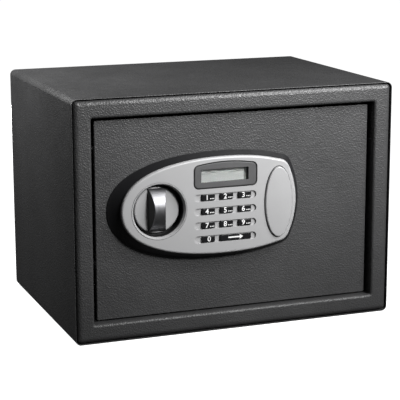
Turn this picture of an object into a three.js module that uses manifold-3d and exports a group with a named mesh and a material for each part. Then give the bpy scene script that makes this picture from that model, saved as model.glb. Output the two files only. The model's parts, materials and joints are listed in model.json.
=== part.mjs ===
// A compact electronic in-room safe: a steel cabinet, a recessed door on hidden pivots, a moulded
// control panel with a knob, a keypad and a display, and the bolt work behind the door.
//
// Millimetres. X runs to the right, Y into the cabinet and Z up. The origin is at the centre of the
// cabinet's bottom face. Front views are drawn in X and Z, so a small Y is near the user.
// The door is drawn closed with its bolts drawn in, and the knob's grip upright.

import * as THREE from 'three';
import { mergeVertices } from 'three/addons/utils/BufferGeometryUtils.js';
import Module from 'manifold-3d';

const wasm = await Module();
wasm.setup();

// ---- Driving dimensions -------------------------------------------------------------------------

const GAP = 0.3;                 // clearance kept between neighbouring pieces

// cabinet
const WIDTH = 350;
const HEIGHT = 250;
const DEPTH = 250;
const WALL = 2.5;
const EDGE_BEND = 6;             // outer radius of the cabinet's long edges
const FRONT = -DEPTH / 2;
const BACK = DEPTH / 2;
const LIP = 0.8;                 // the wrap is thinned to this where the frame sits inside it
const SEAM = 1.3;                // dark seam between the wrap and the frame
const FRAME_BORDER = 20;         // from the cabinet's side to the door opening
const FRAME_RIM = 5.5;           // how far the frame's outer rim turns back
const FRAME_ROUND = 3.8;         // radius of the frame's outer edge
const FRAME_FOLD = 2.4;          // radius of the frame's inner edge
const FRAME_SHEET = 2.5;
const FLANGE_DEPTH = 28;         // how far the frame's return flange reaches back
const ANCHOR_RADIUS = 5;
const ANCHOR_SPACING = 200;
const ANCHOR_BASE_Y = 20;
const ANCHOR_REAR_Z = 70;
const MAT_THICKNESS = 3;

// door
const DOOR_RECESS = 10;
const DOOR_SKIN = 3;
const DOOR_LEFT = -149.5;
const DOOR_RIGHT = 151.5;
const DOOR_BOTTOM = 21.5;
const DOOR_TOP = 226.5;
const BOX_LEFT = -144;
const BOX_RIGHT = 148;
const BOX_BOTTOM = 24;
const BOX_TOP = 224;
const BOX_WALL = 1.5;
const BOX_BACK = -77;
const BOX_LIP = 12;              // width of the box's inward lip, which the lock cover screws to
const HINGE_X = 140;
const HINGE_Y = -106;
const HINGE_PIN_RADIUS = 3.5;

// control panel
const PANEL_DEPTH = 15;
const PANEL_Z = 134;             // height of the panel's line of symmetry
const PANEL_CENTRE_X = -31.85;
const PANEL_SKIN = 3.4;
const PANEL_EDGE = 2.4;          // rounding of the silver face
const HOUSING_FLARE = 1.1;       // size of the housing at the door, against the face
const HOUSING_SHIFT_X = -1.6;    // the housing's foot sits a little left of and below the face
const HOUSING_SHIFT_Z = -1.2;
const HOUSING_WALL = 2.5;
const OUTLINE_STEPS = 7;         // straight steps in each curve of the panel's outline
const FLOOR_SKIN = 2;

// knob
const KNOB_X = -87;
const KNOB_Z = 133;
const KNOB_RADIUS = 24.2;
const KNOB_SINK = 8.3;           // disc face below the panel's face
const KNOB_DISC = 3.4;
const WELL_RADIUS = 27;
const WELL_WALL = 1.4;
const COLLAR_RADIUS = 29.3;
const COLLAR_DISH = 2.0;         // how far the collar's inner edge lies behind its outer edge
const GRIP_HEIGHT = 11.5;
const GRIP_HALF_LENGTH = 22.4;
const GRIP_HALF_WIDTH = 9.7;
const GRIP_DRAFT = 20 * Math.PI / 180;
const SPINDLE_RADIUS = 5;

// bolt work
const BOLT_THROW = 18;
const BOLT_RADIUS = 8;
const BOLT_SPREAD = 60;          // each bolt's distance above or below the knob
const BOLT_Y = -88;
const BOLT_TIP = -148.5;
const CARRIAGE_Y = -100;
const CARRIAGE_SKIN = 2;
const CRANK_PIN_RADIUS = 3;
const CRANK_RADIUS = BOLT_THROW / Math.SQRT2;   // a quarter turn from 45 to 135 degrees
const SLOT_PLAY = 0.8;           // side play of the crank pin in its slot
const STUD_RADIUS = 3;
const STUD_X = -95;
const STUD_SPREAD = 43;
const PLUNGER_X = -72;
const PLUNGER_RADIUS = 4;
const PLUNGER_TRAVEL = 5;

// keypad and display
const KEY_COLUMN_X = -14.4;      // the middle column
const KEY_PITCH_X = 19.9;
const KEY_TOP_Z = 143.1;
const KEY_PITCH_Z = 14.45;
const KEY_WIDTH = 14.2;
const KEY_HEIGHT = 6.9;
const KEY_PROUD = 0.3;
const KEY_TRAVEL = 1.2;
const KEY_LIP = 0.8;
const KEY_SLOT_X = -15.7;         // middle of the slots
const KEY_SLOT_WIDTH = 68;
const KEY_SLOT_HEIGHT = 7.5;
const KEY_SLOT_DEPTH = 1.8;
const DISPLAY = { left: -49, right: 18, bottom: 153.3, shoulder: 176, crown: 178.6, corner: 4.5 };
const DISPLAY_GROOVE = 1.1;       // gap round the display's frame
const WINDOW = { left: -42, right: 9.5, bottom: 158.8, top: 172, corner: 0.6 };

// emergency lock
const OVERRIDE_X = 43;
const OVERRIDE_Z = 133;
const OVERRIDE_HALF_WIDTH = 15;
const OVERRIDE_HALF_HEIGHT = 37;
const OVERRIDE_PROUD = 2.8;
const OVERRIDE_GROOVE = 0.9;      // gap round the oval cover
const OVAL_STEPS = 18;
const LOCK_RADIUS = 9;
const PLUG_RADIUS = 6;

// batteries: four AA cells side by side
const CELL_RADIUS = 7.1;
const CELL_LENGTH = 50.5;
const CELL_PITCH = 15;
const CELL_COUNT = 4;
const TRAY_X = 75;
const TRAY_Z = 70;
const TRAY_WALL = 1.6;
const TRAY_DEPTH = 21;

const RESET_X = 100;
const RESET_Z = 160;

// planes worked out from the dimensions above
const FLANGE_BACK = FRONT + FLANGE_DEPTH;
const OPENING_HALF = WIDTH / 2 - FRAME_BORDER;
const OPENING_BOTTOM = FRAME_BORDER;
const OPENING_TOP = HEIGHT - FRAME_BORDER;
const DOOR_FRONT = FRONT + DOOR_RECESS;
const DOOR_BACK = DOOR_FRONT + DOOR_SKIN;
const PANEL_FRONT = DOOR_FRONT - PANEL_DEPTH;
const PANEL_BACK = PANEL_FRONT + PANEL_SKIN;
const HOUSING_BACK = DOOR_FRONT - GAP;
const HOUSING_FLOOR = HOUSING_BACK - FLOOR_SKIN;
const DISC_FRONT = PANEL_FRONT + KNOB_SINK;
const DISC_BACK = DISC_FRONT + KNOB_DISC;
const COVER_FRONT = BOX_BACK + GAP;
const COVER_BACK = COVER_FRONT + BOX_WALL;
const BOLT_ROWS = [KNOB_Z - BOLT_SPREAD, KNOB_Z + BOLT_SPREAD];
const STUD_ROWS = [KNOB_Z - STUD_SPREAD, KNOB_Z + STUD_SPREAD];

// ---- Materials ----------------------------------------------------------------------------------

const paint = (color, roughness, metalness) =>
  () => new THREE.MeshStandardMaterial({ color, roughness, metalness });

const powderCoat = paint(0x4d4d4f, 0.6, 0.1);
const zincSteel = paint(0xb4b6b8, 0.4, 0.9);
const polishedSteel = paint(0xc8cacc, 0.22, 1.0);
const silverPlastic = paint(0xc6c7c8, 0.42, 0.25);
const satinMetal = paint(0x9c9ea1, 0.35, 0.8);
const blackPlastic = paint(0x161617, 0.5, 0.0);
const greyPlastic = paint(0x646567, 0.45, 0.0);
const clearPlastic = paint(0xe8ecec, 0.05, 0.0);
const displayCell = paint(0xc4c8c2, 0.3, 0.0);
const blackRubber = paint(0x222223, 0.8, 0.0);
const greenBoard = paint(0x1f5a34, 0.5, 0.0);
const brass = paint(0xb89b4e, 0.35, 0.9);
const copperWire = paint(0x9a4f28, 0.45, 0.6);
const redPlastic = paint(0xa82018, 0.4, 0.0);
const cellWrap = paint(0x2c3f63, 0.35, 0.2);
const greyFelt = paint(0x2e2f31, 0.95, 0.0);

// ---- Solids -------------------------------------------------------------------------------------

/** Turns a closed three.js geometry into a solid that can be joined and cut. */
function solid(geometry) {
  const bare = geometry.clone();
  bare.deleteAttribute('normal');
  bare.deleteAttribute('uv');
  const merged = mergeVertices(bare, 1e-4);
  return new wasm.Manifold(new wasm.Mesh({
    numProp: 3,
    vertProperties: new Float32Array(merged.attributes.position.array),
    triVerts: new Uint32Array(merged.index.array),
  }));
}

/** Joins any number of solids. */
const join = (first, ...others) => others.reduce((sum, other) => sum.add(other), first);

/** Cuts any number of solids out of the first. */
const cut = (first, ...others) => others.reduce((rest, other) => rest.subtract(other), first);

function box(x0, x1, y0, y1, z0, z1) {
  const geometry = new THREE.BoxGeometry(x1 - x0, y1 - y0, z1 - z0);
  return solid(geometry.translate((x0 + x1) / 2, (y0 + y1) / 2, (z0 + z1) / 2));
}

/** Extrudes a front-view shape (X and Z) from y0 back to y1. */
function frontPrism(shape, y0, y1, curveSegments = 2) {
  const geometry = new THREE.ExtrudeGeometry(shape, { depth: y1 - y0, bevelEnabled: false, curveSegments });
  return solid(geometry.rotateX(Math.PI / 2).translate(0, y1, 0));
}

/** Extrudes a plan-view shape (X and Y) from z0 up to z1. */
function planPrism(shape, z0, z1, curveSegments = 2) {
  const geometry = new THREE.ExtrudeGeometry(shape, { depth: z1 - z0, bevelEnabled: false, curveSegments });
  return solid(geometry.translate(0, 0, z0));
}

/** Round bars along X, Y and Z. */
function barX(y, z, radius, x0, x1, segments = 16) {
  const geometry = new THREE.CylinderGeometry(radius, radius, x1 - x0, segments);
  return solid(geometry.rotateZ(-Math.PI / 2).translate((x0 + x1) / 2, y, z));
}

function barY(x, z, radius, y0, y1, segments = 16) {
  const geometry = new THREE.CylinderGeometry(radius, radius, y1 - y0, segments);
  return solid(geometry.translate(x, (y0 + y1) / 2, z));
}

function barZ(x, y, radius, z0, z1, segments = 16) {
  const geometry = new THREE.CylinderGeometry(radius, radius, z1 - z0, segments);
  return solid(geometry.rotateX(Math.PI / 2).translate(x, y, (z0 + z1) / 2));
}

/** Turns a profile of [radius, y] points about the Y-direction axis through (x, z). */
function turned(profile, x, z, segments = 40) {
  const points = profile.map(([radius, y]) => new THREE.Vector2(radius, y));
  return solid(new THREE.LatheGeometry(points, segments).translate(x, 0, z));
}

// ---- Outlines -----------------------------------------------------------------------------------

/** A rectangle with round corners, between two opposite corners. */
function roundedRectangle(u0, u1, v0, v1, radius) {
  const shape = new THREE.Shape();
  shape.absarc(u1 - radius, v0 + radius, radius, -Math.PI / 2, 0);
  shape.absarc(u1 - radius, v1 - radius, radius, 0, Math.PI / 2);
  shape.absarc(u0 + radius, v1 - radius, radius, Math.PI / 2, Math.PI);
  shape.absarc(u0 + radius, v0 + radius, radius, Math.PI, Math.PI * 1.5);
  return shape;
}

/** A slot with half-round ends. */
function stadium(centreX, centreZ, width, height) {
  const half = width / 2;
  return roundedRectangle(centreX - half, centreX + half, centreZ - height / 2, centreZ + height / 2,
    height / 2 - 0.01);
}

function ellipse(x, z, halfWidth, halfHeight) {
  return new THREE.Shape().absellipse(x, z, halfWidth, halfHeight, 0, Math.PI * 2);
}

/** The panel's outline: a long rounded nose on the left and a blunt, full-cornered right end. */
function panelOutline() {
  const z = PANEL_Z;
  const shape = new THREE.Shape();
  shape.moveTo(-127, z);
  shape.bezierCurveTo(-127, z - 36, -75, z - 50.6, -17, z - 50.6);
  shape.bezierCurveTo(15, z - 50.6, 29, z - 47.4, 47, z - 43);
  shape.bezierCurveTo(52, z - 41.8, 55, z - 37.5, 56.5, z - 33);
  shape.bezierCurveTo(60.8, z - 23, 63.3, z - 11, 63.3, z);
  shape.bezierCurveTo(63.3, z + 11, 60.8, z + 23, 56.5, z + 33);
  shape.bezierCurveTo(55, z + 37.5, 52, z + 41.8, 47, z + 43);
  shape.bezierCurveTo(29, z + 47.4, 15, z + 50.6, -17, z + 50.6);
  shape.bezierCurveTo(-75, z + 50.6, -127, z + 36, -127, z);
  return shape;
}

/** The display frame's outline: square foot, round corners and a gently arched top. */
function displayOutline(grow) {
  const { left, right, bottom, shoulder, crown, corner } = DISPLAY;
  const x0 = left - grow;
  const x1 = right + grow;
  const z0 = bottom - grow;
  const z1 = shoulder + grow;
  const radius = corner + grow;
  const shape = new THREE.Shape();
  shape.absarc(x1 - radius, z0 + radius, radius, -Math.PI / 2, 0);
  shape.absarc(x1 - radius, z1 - radius, radius, 0, Math.PI * 0.45);
  shape.quadraticCurveTo((x0 + x1) / 2, 2 * (crown + grow) - z1, x0 + radius * 0.84, z1 - radius * 0.02);
  shape.absarc(x0 + radius, z1 - radius, radius, Math.PI * 0.55, Math.PI);
  shape.absarc(x0 + radius, z0 + radius, radius, Math.PI, Math.PI * 1.5);
  return shape;
}

// ---- Assembly -----------------------------------------------------------------------------------

const safe = new THREE.Group();

/** Adds one finished sub-part, with flat-shaded faces. */
function addPart(name, body, material) {
  const made = body.getMesh();
  const geometry = new THREE.BufferGeometry();
  geometry.setAttribute('position', new THREE.BufferAttribute(new Float32Array(made.vertProperties), 3));
  geometry.setIndex(new THREE.BufferAttribute(new Uint32Array(made.triVerts), 1));
  const mesh = new THREE.Mesh(geometry, material());
  mesh.name = name;
  safe.add(mesh);
}

// Cabinet ---------------------------------------------------------------------------------------

/** The cabinet's front-view outline, inset on every side. */
function cabinetOutline(inset) {
  return roundedRectangle(-WIDTH / 2 + inset, WIDTH / 2 - inset, inset, HEIGHT - inset, EDGE_BEND - inset);
}

/** The door opening's outline, grown on every side. */
function openingOutline(grow) {
  return roundedRectangle(-OPENING_HALF - grow, OPENING_HALF + grow,
    OPENING_BOTTOM - grow, OPENING_TOP + grow, 1.5 + grow);
}

/** The wrap round the cabinet, thinned to a lip at the front where the frame sits inside it. */
function bodyShell() {
  const start = FRONT + 0.6;
  const shoulder = FRONT + FRAME_RIM + GAP;
  const anchors = [-1, 1].map((side) =>
    barZ(side * ANCHOR_SPACING / 2, ANCHOR_BASE_Y, ANCHOR_RADIUS, -1, WALL + 1));
  return cut(frontPrism(cabinetOutline(0), start, BACK, 3),
    frontPrism(cabinetOutline(WALL), start - 1, BACK + 1, 3),
    frontPrism(cabinetOutline(LIP), start - 1, shoulder, 3), ...anchors);
}

function rearPanel() {
  const inset = WALL + GAP;
  const anchors = [-1, 1].map((side) =>
    barY(side * ANCHOR_SPACING / 2, ANCHOR_REAR_Z, ANCHOR_RADIUS, BACK - 5, BACK + 1));
  return cut(frontPrism(cabinetOutline(inset), BACK - WALL - 0.5, BACK - 0.5), ...anchors);
}

/** A plate whose front edges are rounded, both round its outline and round its holes. */
function roundedPlate(outline, front, back, radius) {
  const geometry = new THREE.ExtrudeGeometry(outline, {
    depth: back - front,
    bevelThickness: radius,
    bevelSize: radius,
    bevelOffset: -radius,
    bevelSegments: 3,
    curveSegments: 2,
  });
  geometry.rotateX(Math.PI / 2).translate(0, back + radius, 0);
  return solid(geometry).intersect(box(-WIDTH, WIDTH, front - 1, back, -HEIGHT, 2 * HEIGHT));
}

/** The front frame: a hollow-backed pressing with a flange that returns into the door opening. */
function frontFrame() {
  const rimBack = FRONT + FRAME_RIM;
  const outline = cabinetOutline(LIP + SEAM);
  const opened = roundedRectangle(-WIDTH, WIDTH, -HEIGHT, 2 * HEIGHT, 20);
  opened.holes.push(openingOutline(0));
  const face = roundedPlate(outline, FRONT, rimBack, FRAME_ROUND)
    .intersect(roundedPlate(opened, FRONT, rimBack, FRAME_FOLD));
  const channel = cut(
    frontPrism(cabinetOutline(LIP + SEAM + FRAME_SHEET), FRONT + FRAME_SHEET, rimBack + 1),
    frontPrism(openingOutline(FRAME_SHEET), FRONT, rimBack + 2));
  const flange = cut(
    frontPrism(openingOutline(FRAME_SHEET), rimBack - 0.5, FLANGE_BACK),
    frontPrism(openingOutline(0), FRONT, FLANGE_BACK + 1));
  const pivots = [OPENING_BOTTOM - FRAME_SHEET / 2, OPENING_TOP + FRAME_SHEET / 2].map((z) =>
    barZ(HINGE_X, HINGE_Y, HINGE_PIN_RADIUS + GAP + 0.1, z - FRAME_SHEET, z + FRAME_SHEET));
  return cut(join(cut(face, channel), flange), ...pivots);
}

function floorMat() {
  const side = WIDTH / 2 - WALL - 3;
  const start = FLANGE_BACK + 2;
  const end = BACK - WALL - 2;
  const bottom = WALL + GAP;
  const top = bottom + MAT_THICKNESS;
  const anchors = [-1, 1].map((sign) =>
    barZ(sign * ANCHOR_SPACING / 2, ANCHOR_BASE_Y, ANCHOR_RADIUS + 2, 0, top + 1));
  return cut(planPrism(roundedRectangle(-side, side, start, end, 2), bottom, top), ...anchors);
}

addPart('body_shell', bodyShell(), powderCoat);
addPart('rear_panel', rearPanel(), powderCoat);
addPart('front_frame', frontFrame(), powderCoat);
addPart('floor_mat', floorMat(), greyFelt);
addPart('hinge_washer', cut(
  barZ(HINGE_X, HINGE_Y, 5.6, OPENING_BOTTOM + GAP, BOX_BOTTOM - GAP),
  barZ(HINGE_X, HINGE_Y, HINGE_PIN_RADIUS + GAP, 0, BOX_BOTTOM + 1)), brass);

// Door ------------------------------------------------------------------------------------------

const CABLE_HOLE = { x: -15, z: 112, radius: 8 };
const PANEL_SCREWS = [['panel_screw_left', -112], ['panel_screw_right', 10]];
const PANEL_SCREW_RADIUS = 2;

function doorPlate() {
  const outline = roundedRectangle(DOOR_LEFT, DOOR_RIGHT, DOOR_BOTTOM, DOOR_TOP, 1);
  const [y0, y1] = [DOOR_FRONT - 1, DOOR_BACK + 1];
  return cut(frontPrism(outline, DOOR_FRONT, DOOR_BACK),
    barY(KNOB_X, KNOB_Z, SPINDLE_RADIUS + GAP, y0, y1),
    barY(CABLE_HOLE.x, CABLE_HOLE.z, CABLE_HOLE.radius, y0, y1),
    barY(OVERRIDE_X, OVERRIDE_Z, LOCK_RADIUS + GAP, y0, y1),
    ...PANEL_SCREWS.map(([, x]) => barY(x, PANEL_Z, PANEL_SCREW_RADIUS + GAP, y0, y1)));
}

/** The four corners where the lock cover is screwed to the box's lip. */
const COVER_SCREWS = [BOX_BOTTOM, BOX_TOP].flatMap((z) => [BOX_LEFT, BOX_RIGHT].map((x) => ({
  x: x + Math.sign(-x) * (BOX_WALL + BOX_LIP / 2),
  z: z === BOX_BOTTOM ? z + BOX_WALL + BOX_LIP / 2 : z - BOX_WALL - BOX_LIP / 2,
})));
const COVER_SCREW_RADIUS = 2;

function doorBox() {
  const outside = roundedRectangle(BOX_LEFT, BOX_RIGHT, BOX_BOTTOM, BOX_TOP, 3);
  const inside = roundedRectangle(BOX_LEFT + BOX_WALL, BOX_RIGHT - BOX_WALL,
    BOX_BOTTOM + BOX_WALL, BOX_TOP - BOX_WALL, 1.5);
  const lipInset = BOX_WALL + BOX_LIP;
  const mouth = roundedRectangle(BOX_LEFT + lipInset, BOX_RIGHT - lipInset,
    BOX_BOTTOM + lipInset, BOX_TOP - lipInset, 3);
  const start = DOOR_BACK + GAP;
  return cut(frontPrism(outside, start, BOX_BACK),
    frontPrism(inside, start - 1, BOX_BACK - BOX_WALL),
    frontPrism(mouth, BOX_BACK - BOX_WALL - 1, BOX_BACK + 1),
    ...BOLT_ROWS.map((z) => barX(BOLT_Y, z, BOLT_RADIUS + GAP, BOX_LEFT - 1, BOX_LEFT + BOX_WALL + 1)),
    ...COVER_SCREWS.map(({ x, z }) => barY(x, z, COVER_SCREW_RADIUS + GAP, BOX_BACK - 3, BOX_BACK + 1)),
    barZ(HINGE_X, HINGE_Y, HINGE_PIN_RADIUS + GAP, BOX_BOTTOM - 1, BOX_BOTTOM + BOX_WALL + 1),
    barZ(HINGE_X, HINGE_Y, HINGE_PIN_RADIUS + GAP, BOX_TOP - BOX_WALL - 1, BOX_TOP + 1));
}

const TRAY_HALF_WIDTH = CELL_COUNT * CELL_PITCH / 2 + TRAY_WALL + 0.5;
const TRAY_HALF_HEIGHT = CELL_LENGTH / 2 + TRAY_WALL + 1.5;
const RESET_RADIUS = 3;

function lockCover() {
  const outline = roundedRectangle(BOX_LEFT, BOX_RIGHT, BOX_BOTTOM, BOX_TOP, 3);
  const window = roundedRectangle(TRAY_X - TRAY_HALF_WIDTH + TRAY_WALL, TRAY_X + TRAY_HALF_WIDTH - TRAY_WALL,
    TRAY_Z - TRAY_HALF_HEIGHT + TRAY_WALL, TRAY_Z + TRAY_HALF_HEIGHT - TRAY_WALL, 2);
  const [y0, y1] = [COVER_FRONT - 1, COVER_BACK + 1];
  return cut(frontPrism(outline, COVER_FRONT, COVER_BACK),
    frontPrism(window, y0, y1),
    barY(RESET_X, RESET_Z, RESET_RADIUS + GAP, y0, y1),
    ...COVER_SCREWS.map(({ x, z }) => barY(x, z, COVER_SCREW_RADIUS + GAP, y0, y1)));
}

/** A pan-head screw along Y with a cross recess in its head; the head is at the rear. */
function panScrew(x, z, tip, seat, radius) {
  const head = turned([[0, seat], [radius * 2, seat], [radius * 1.9, seat + 1.3],
    [radius * 1.2, seat + 2.1], [0, seat + 2.3]], x, z, 14);
  const slot = 0.45;
  const reach = radius * 1.1;
  return cut(join(barY(x, z, radius, tip, seat + 0.5, 10), head),
    box(x - slot, x + slot, seat + 1.2, seat + 3, z - reach, z + reach),
    box(x - reach, x + reach, seat + 1.2, seat + 3, z - slot, z + slot));
}

addPart('door_plate', doorPlate(), powderCoat);
addPart('door_box', doorBox(), powderCoat);
addPart('lock_cover', lockCover(), powderCoat);
COVER_SCREWS.forEach(({ x, z }, index) => {
  const screw = panScrew(x, z, BOX_BACK - 8, COVER_BACK + GAP, COVER_SCREW_RADIUS);
  addPart(`cover_screw_${index + 1}`, screw, zincSteel);
});
addPart('hinge_pin_top',
  barZ(HINGE_X, HINGE_Y, HINGE_PIN_RADIUS, BOX_TOP - 10, OPENING_TOP + WALL + 2), powderCoat);
addPart('hinge_pin_bottom',
  barZ(HINGE_X, HINGE_Y, HINGE_PIN_RADIUS, OPENING_BOTTOM - WALL - 2, BOX_BOTTOM + 10), powderCoat);

// Control panel ---------------------------------------------------------------------------------

/** The keys: [name, column centre, row, width]. Three columns, four rows, the last key double width. */
const KEYS = Array.from({ length: 9 }, (_, index) => ({
  name: `key_${index + 1}`,
  x: KEY_COLUMN_X + (index % 3 - 1) * KEY_PITCH_X,
  row: Math.floor(index / 3),
  width: KEY_WIDTH,
}));
KEYS.push({ name: 'key_0', x: KEY_COLUMN_X - KEY_PITCH_X, row: 3, width: KEY_WIDTH });
KEYS.push({ name: 'key_start', x: KEY_COLUMN_X + KEY_PITCH_X / 2, row: 3, width: KEY_WIDTH + KEY_PITCH_X });

const keyRowZ = (row) => KEY_TOP_Z - row * KEY_PITCH_Z;

/** A key's outline, grown on every side. */
function keyOutline(key, growX, growZ) {
  const halfWidth = key.width / 2 + growX;
  const halfHeight = KEY_HEIGHT / 2 + growZ;
  const z = keyRowZ(key.row);
  return roundedRectangle(key.x - halfWidth, key.x + halfWidth, z - halfHeight, z + halfHeight, 1.6);
}

function panelHousing() {
  const front = PANEL_BACK + GAP;
  const depth = HOUSING_BACK - front;
  const outer = new THREE.ExtrudeGeometry(panelOutline(), {
    depth,
    bevelEnabled: false,
    curveSegments: OUTLINE_STEPS,
  });
  outer.rotateX(Math.PI / 2).translate(0, HOUSING_BACK, 0);
  const points = outer.attributes.position;
  for (let i = 0; i < points.count; i += 1) {
    const towardsDoor = (points.getY(i) - front) / depth;
    const scale = 1 + (HOUSING_FLARE - 1) * towardsDoor;
    const awayX = (points.getX(i) - PANEL_CENTRE_X) * scale;
    const awayZ = (points.getZ(i) - PANEL_Z) * scale;
    points.setX(i, PANEL_CENTRE_X + awayX + HOUSING_SHIFT_X * towardsDoor);
    points.setZ(i, PANEL_Z + awayZ + HOUSING_SHIFT_Z * towardsDoor);
  }
  const inner = new THREE.ExtrudeGeometry(panelOutline(), {
    depth: HOUSING_FLOOR - front + 1,
    bevelSize: 0.01,
    bevelThickness: 0.01,
    bevelOffset: -HOUSING_WALL,
    bevelSegments: 1,
    curveSegments: OUTLINE_STEPS,
  });
  inner.rotateX(Math.PI / 2).translate(0, HOUSING_FLOOR, 0);
  const tray = cut(solid(outer), solid(inner));
  const well = barY(KNOB_X, KNOB_Z, WELL_RADIUS + WELL_WALL, front, HOUSING_FLOOR + 0.5, 48);
  const [y0, y1] = [front - 1, HOUSING_BACK + 1];
  return cut(join(tray, well),
    barY(KNOB_X, KNOB_Z, WELL_RADIUS, y0, HOUSING_FLOOR, 48),
    barY(KNOB_X, KNOB_Z, SPINDLE_RADIUS + GAP, y0, y1),
    barY(CABLE_HOLE.x, CABLE_HOLE.z, CABLE_HOLE.radius, y0, y1),
    barY(OVERRIDE_X, OVERRIDE_Z, LOCK_RADIUS + GAP, y0, y1));
}

function panelFace() {
  const rounded = new THREE.ExtrudeGeometry(panelOutline(), {
    depth: 1,
    bevelThickness: PANEL_EDGE,
    bevelSize: PANEL_EDGE,
    bevelOffset: -PANEL_EDGE,
    bevelSegments: 3,
    curveSegments: OUTLINE_STEPS,
  });
  rounded.rotateX(Math.PI / 2).translate(0, PANEL_FRONT + PANEL_EDGE + 1, 0);
  const slab = solid(rounded).intersect(box(-200, 200, PANEL_FRONT - 1, PANEL_BACK, 0, HEIGHT));
  const slotFloor = PANEL_FRONT + KEY_SLOT_DEPTH;
  const [y0, y1] = [PANEL_FRONT - 1, PANEL_BACK + 1];
  const slots = [0, 1, 2, 3].map((row) =>
    frontPrism(stadium(KEY_SLOT_X, keyRowZ(row), KEY_SLOT_WIDTH, KEY_SLOT_HEIGHT), y0, slotFloor));
  const holes = KEYS.map((key) => frontPrism(keyOutline(key, GAP, GAP), y0, y1, 1));
  const oval = ellipse(OVERRIDE_X, OVERRIDE_Z,
    OVERRIDE_HALF_WIDTH + OVERRIDE_GROOVE, OVERRIDE_HALF_HEIGHT + OVERRIDE_GROOVE);
  return cut(slab, ...slots, ...holes,
    barY(KNOB_X, KNOB_Z, COLLAR_RADIUS + GAP, y0, y1, 48),
    frontPrism(displayOutline(DISPLAY_GROOVE), y0, y1),
    frontPrism(oval, y0, y1, OVAL_STEPS));
}

/** The flush ring round the knob, dished towards the well. */
function knobCollar() {
  return turned([
    [WELL_RADIUS, PANEL_BACK],
    [WELL_RADIUS, PANEL_FRONT + COLLAR_DISH],
    [COLLAR_RADIUS - 0.3, PANEL_FRONT],
    [COLLAR_RADIUS, PANEL_FRONT + 0.3],
    [COLLAR_RADIUS, PANEL_BACK],
    [WELL_RADIUS, PANEL_BACK],
  ], KNOB_X, KNOB_Z, 48);
}

const BEZEL_BACK = PANEL_FRONT + 2.5;
const LENS_BACK = BEZEL_BACK + GAP + 1;
const LCD_BACK = LENS_BACK + GAP + 1.9;

function windowOutline(grow) {
  return roundedRectangle(WINDOW.left - grow, WINDOW.right + grow, WINDOW.bottom - grow, WINDOW.top + grow,
    WINDOW.corner);
}

function keyCap(key) {
  const lipFront = PANEL_BACK + GAP;
  const top = PANEL_FRONT - KEY_PROUD;
  const cap = frontPrism(keyOutline(key, 0, 0), top, lipFront + 0.5, 1);
  return join(cap, frontPrism(keyOutline(key, KEY_LIP, KEY_LIP), lipFront, lipFront + 1, 1));
}

const KEY_BACK = PANEL_BACK + GAP + 1;
const MAT_FRONT = KEY_BACK + KEY_TRAVEL + GAP;
const MAT_BACK = MAT_FRONT + 1.6;

addPart('panel_housing', panelHousing(), blackPlastic);
addPart('panel_face', panelFace(), silverPlastic);
addPart('knob_collar', knobCollar(), silverPlastic);
addPart('display_bezel', cut(
  frontPrism(displayOutline(0), PANEL_FRONT + 0.1, BEZEL_BACK),
  frontPrism(windowOutline(0), PANEL_FRONT - 1, BEZEL_BACK + 1)), greyPlastic);
addPart('display_lens', frontPrism(windowOutline(2), BEZEL_BACK + GAP, LENS_BACK), clearPlastic);
addPart('display_lcd', frontPrism(windowOutline(1.5), LENS_BACK + GAP, LCD_BACK), displayCell);
KEYS.forEach((key) => addPart(key.name, keyCap(key), blackPlastic));
addPart('key_mat', frontPrism(roundedRectangle(-48, 16, 93, 149, 2), MAT_FRONT, MAT_BACK), blackRubber);
addPart('circuit_board',
  frontPrism(roundedRectangle(-49, 18, 93, 176, 1), MAT_BACK + GAP, MAT_BACK + GAP + 1.6), greenBoard);
PANEL_SCREWS.forEach(([name, x]) => {
  addPart(name, panScrew(x, PANEL_Z, DOOR_FRONT - 0.1, DOOR_BACK + GAP, PANEL_SCREW_RADIUS), zincSteel);
});

// Knob ------------------------------------------------------------------------------------------

function knob() {
  const edge = 1.8;
  const disc = turned([
    [0, DISC_FRONT],
    [KNOB_RADIUS - edge, DISC_FRONT],
    [KNOB_RADIUS - edge * 0.3, DISC_FRONT + edge * 0.3],
    [KNOB_RADIUS, DISC_FRONT + edge],
    [KNOB_RADIUS, DISC_BACK],
    [9, DISC_BACK],
    [9, HOUSING_FLOOR - GAP],
    [0, HOUSING_FLOOR - GAP],
  ], KNOB_X, KNOB_Z);
  const arcRadius = (GRIP_HALF_LENGTH ** 2 + GRIP_HEIGHT ** 2) / (2 * GRIP_HEIGHT);
  const arcY = DISC_FRONT - GRIP_HEIGHT + arcRadius;
  const arch = barX(arcY, KNOB_Z, arcRadius, KNOB_X - 15, KNOB_X + 15, 72);
  const halfAt = (height) => GRIP_HALF_WIDTH - height * Math.tan(GRIP_DRAFT);
  const wedge = new THREE.Shape([
    new THREE.Vector2(KNOB_X - halfAt(-2), DISC_FRONT + 2),
    new THREE.Vector2(KNOB_X + halfAt(-2), DISC_FRONT + 2),
    new THREE.Vector2(KNOB_X + halfAt(GRIP_HEIGHT + 1), DISC_FRONT - GRIP_HEIGHT - 1),
    new THREE.Vector2(KNOB_X - halfAt(GRIP_HEIGHT + 1), DISC_FRONT - GRIP_HEIGHT - 1),
  ]);
  const fin = planPrism(wedge, KNOB_Z - 30, KNOB_Z + 30).intersect(arch)
    .intersect(barY(KNOB_X, KNOB_Z, KNOB_RADIUS, DISC_FRONT - GRIP_HEIGHT - 1, DISC_BACK, 40));
  return cut(join(disc, fin), barY(KNOB_X, KNOB_Z, SPINDLE_RADIUS + GAP, DISC_FRONT + 2, DISC_BACK + 9));
}

const CRANK_FRONT = DOOR_BACK + 4;
const CRANK_BACK = CRANK_FRONT + 3;

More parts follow.
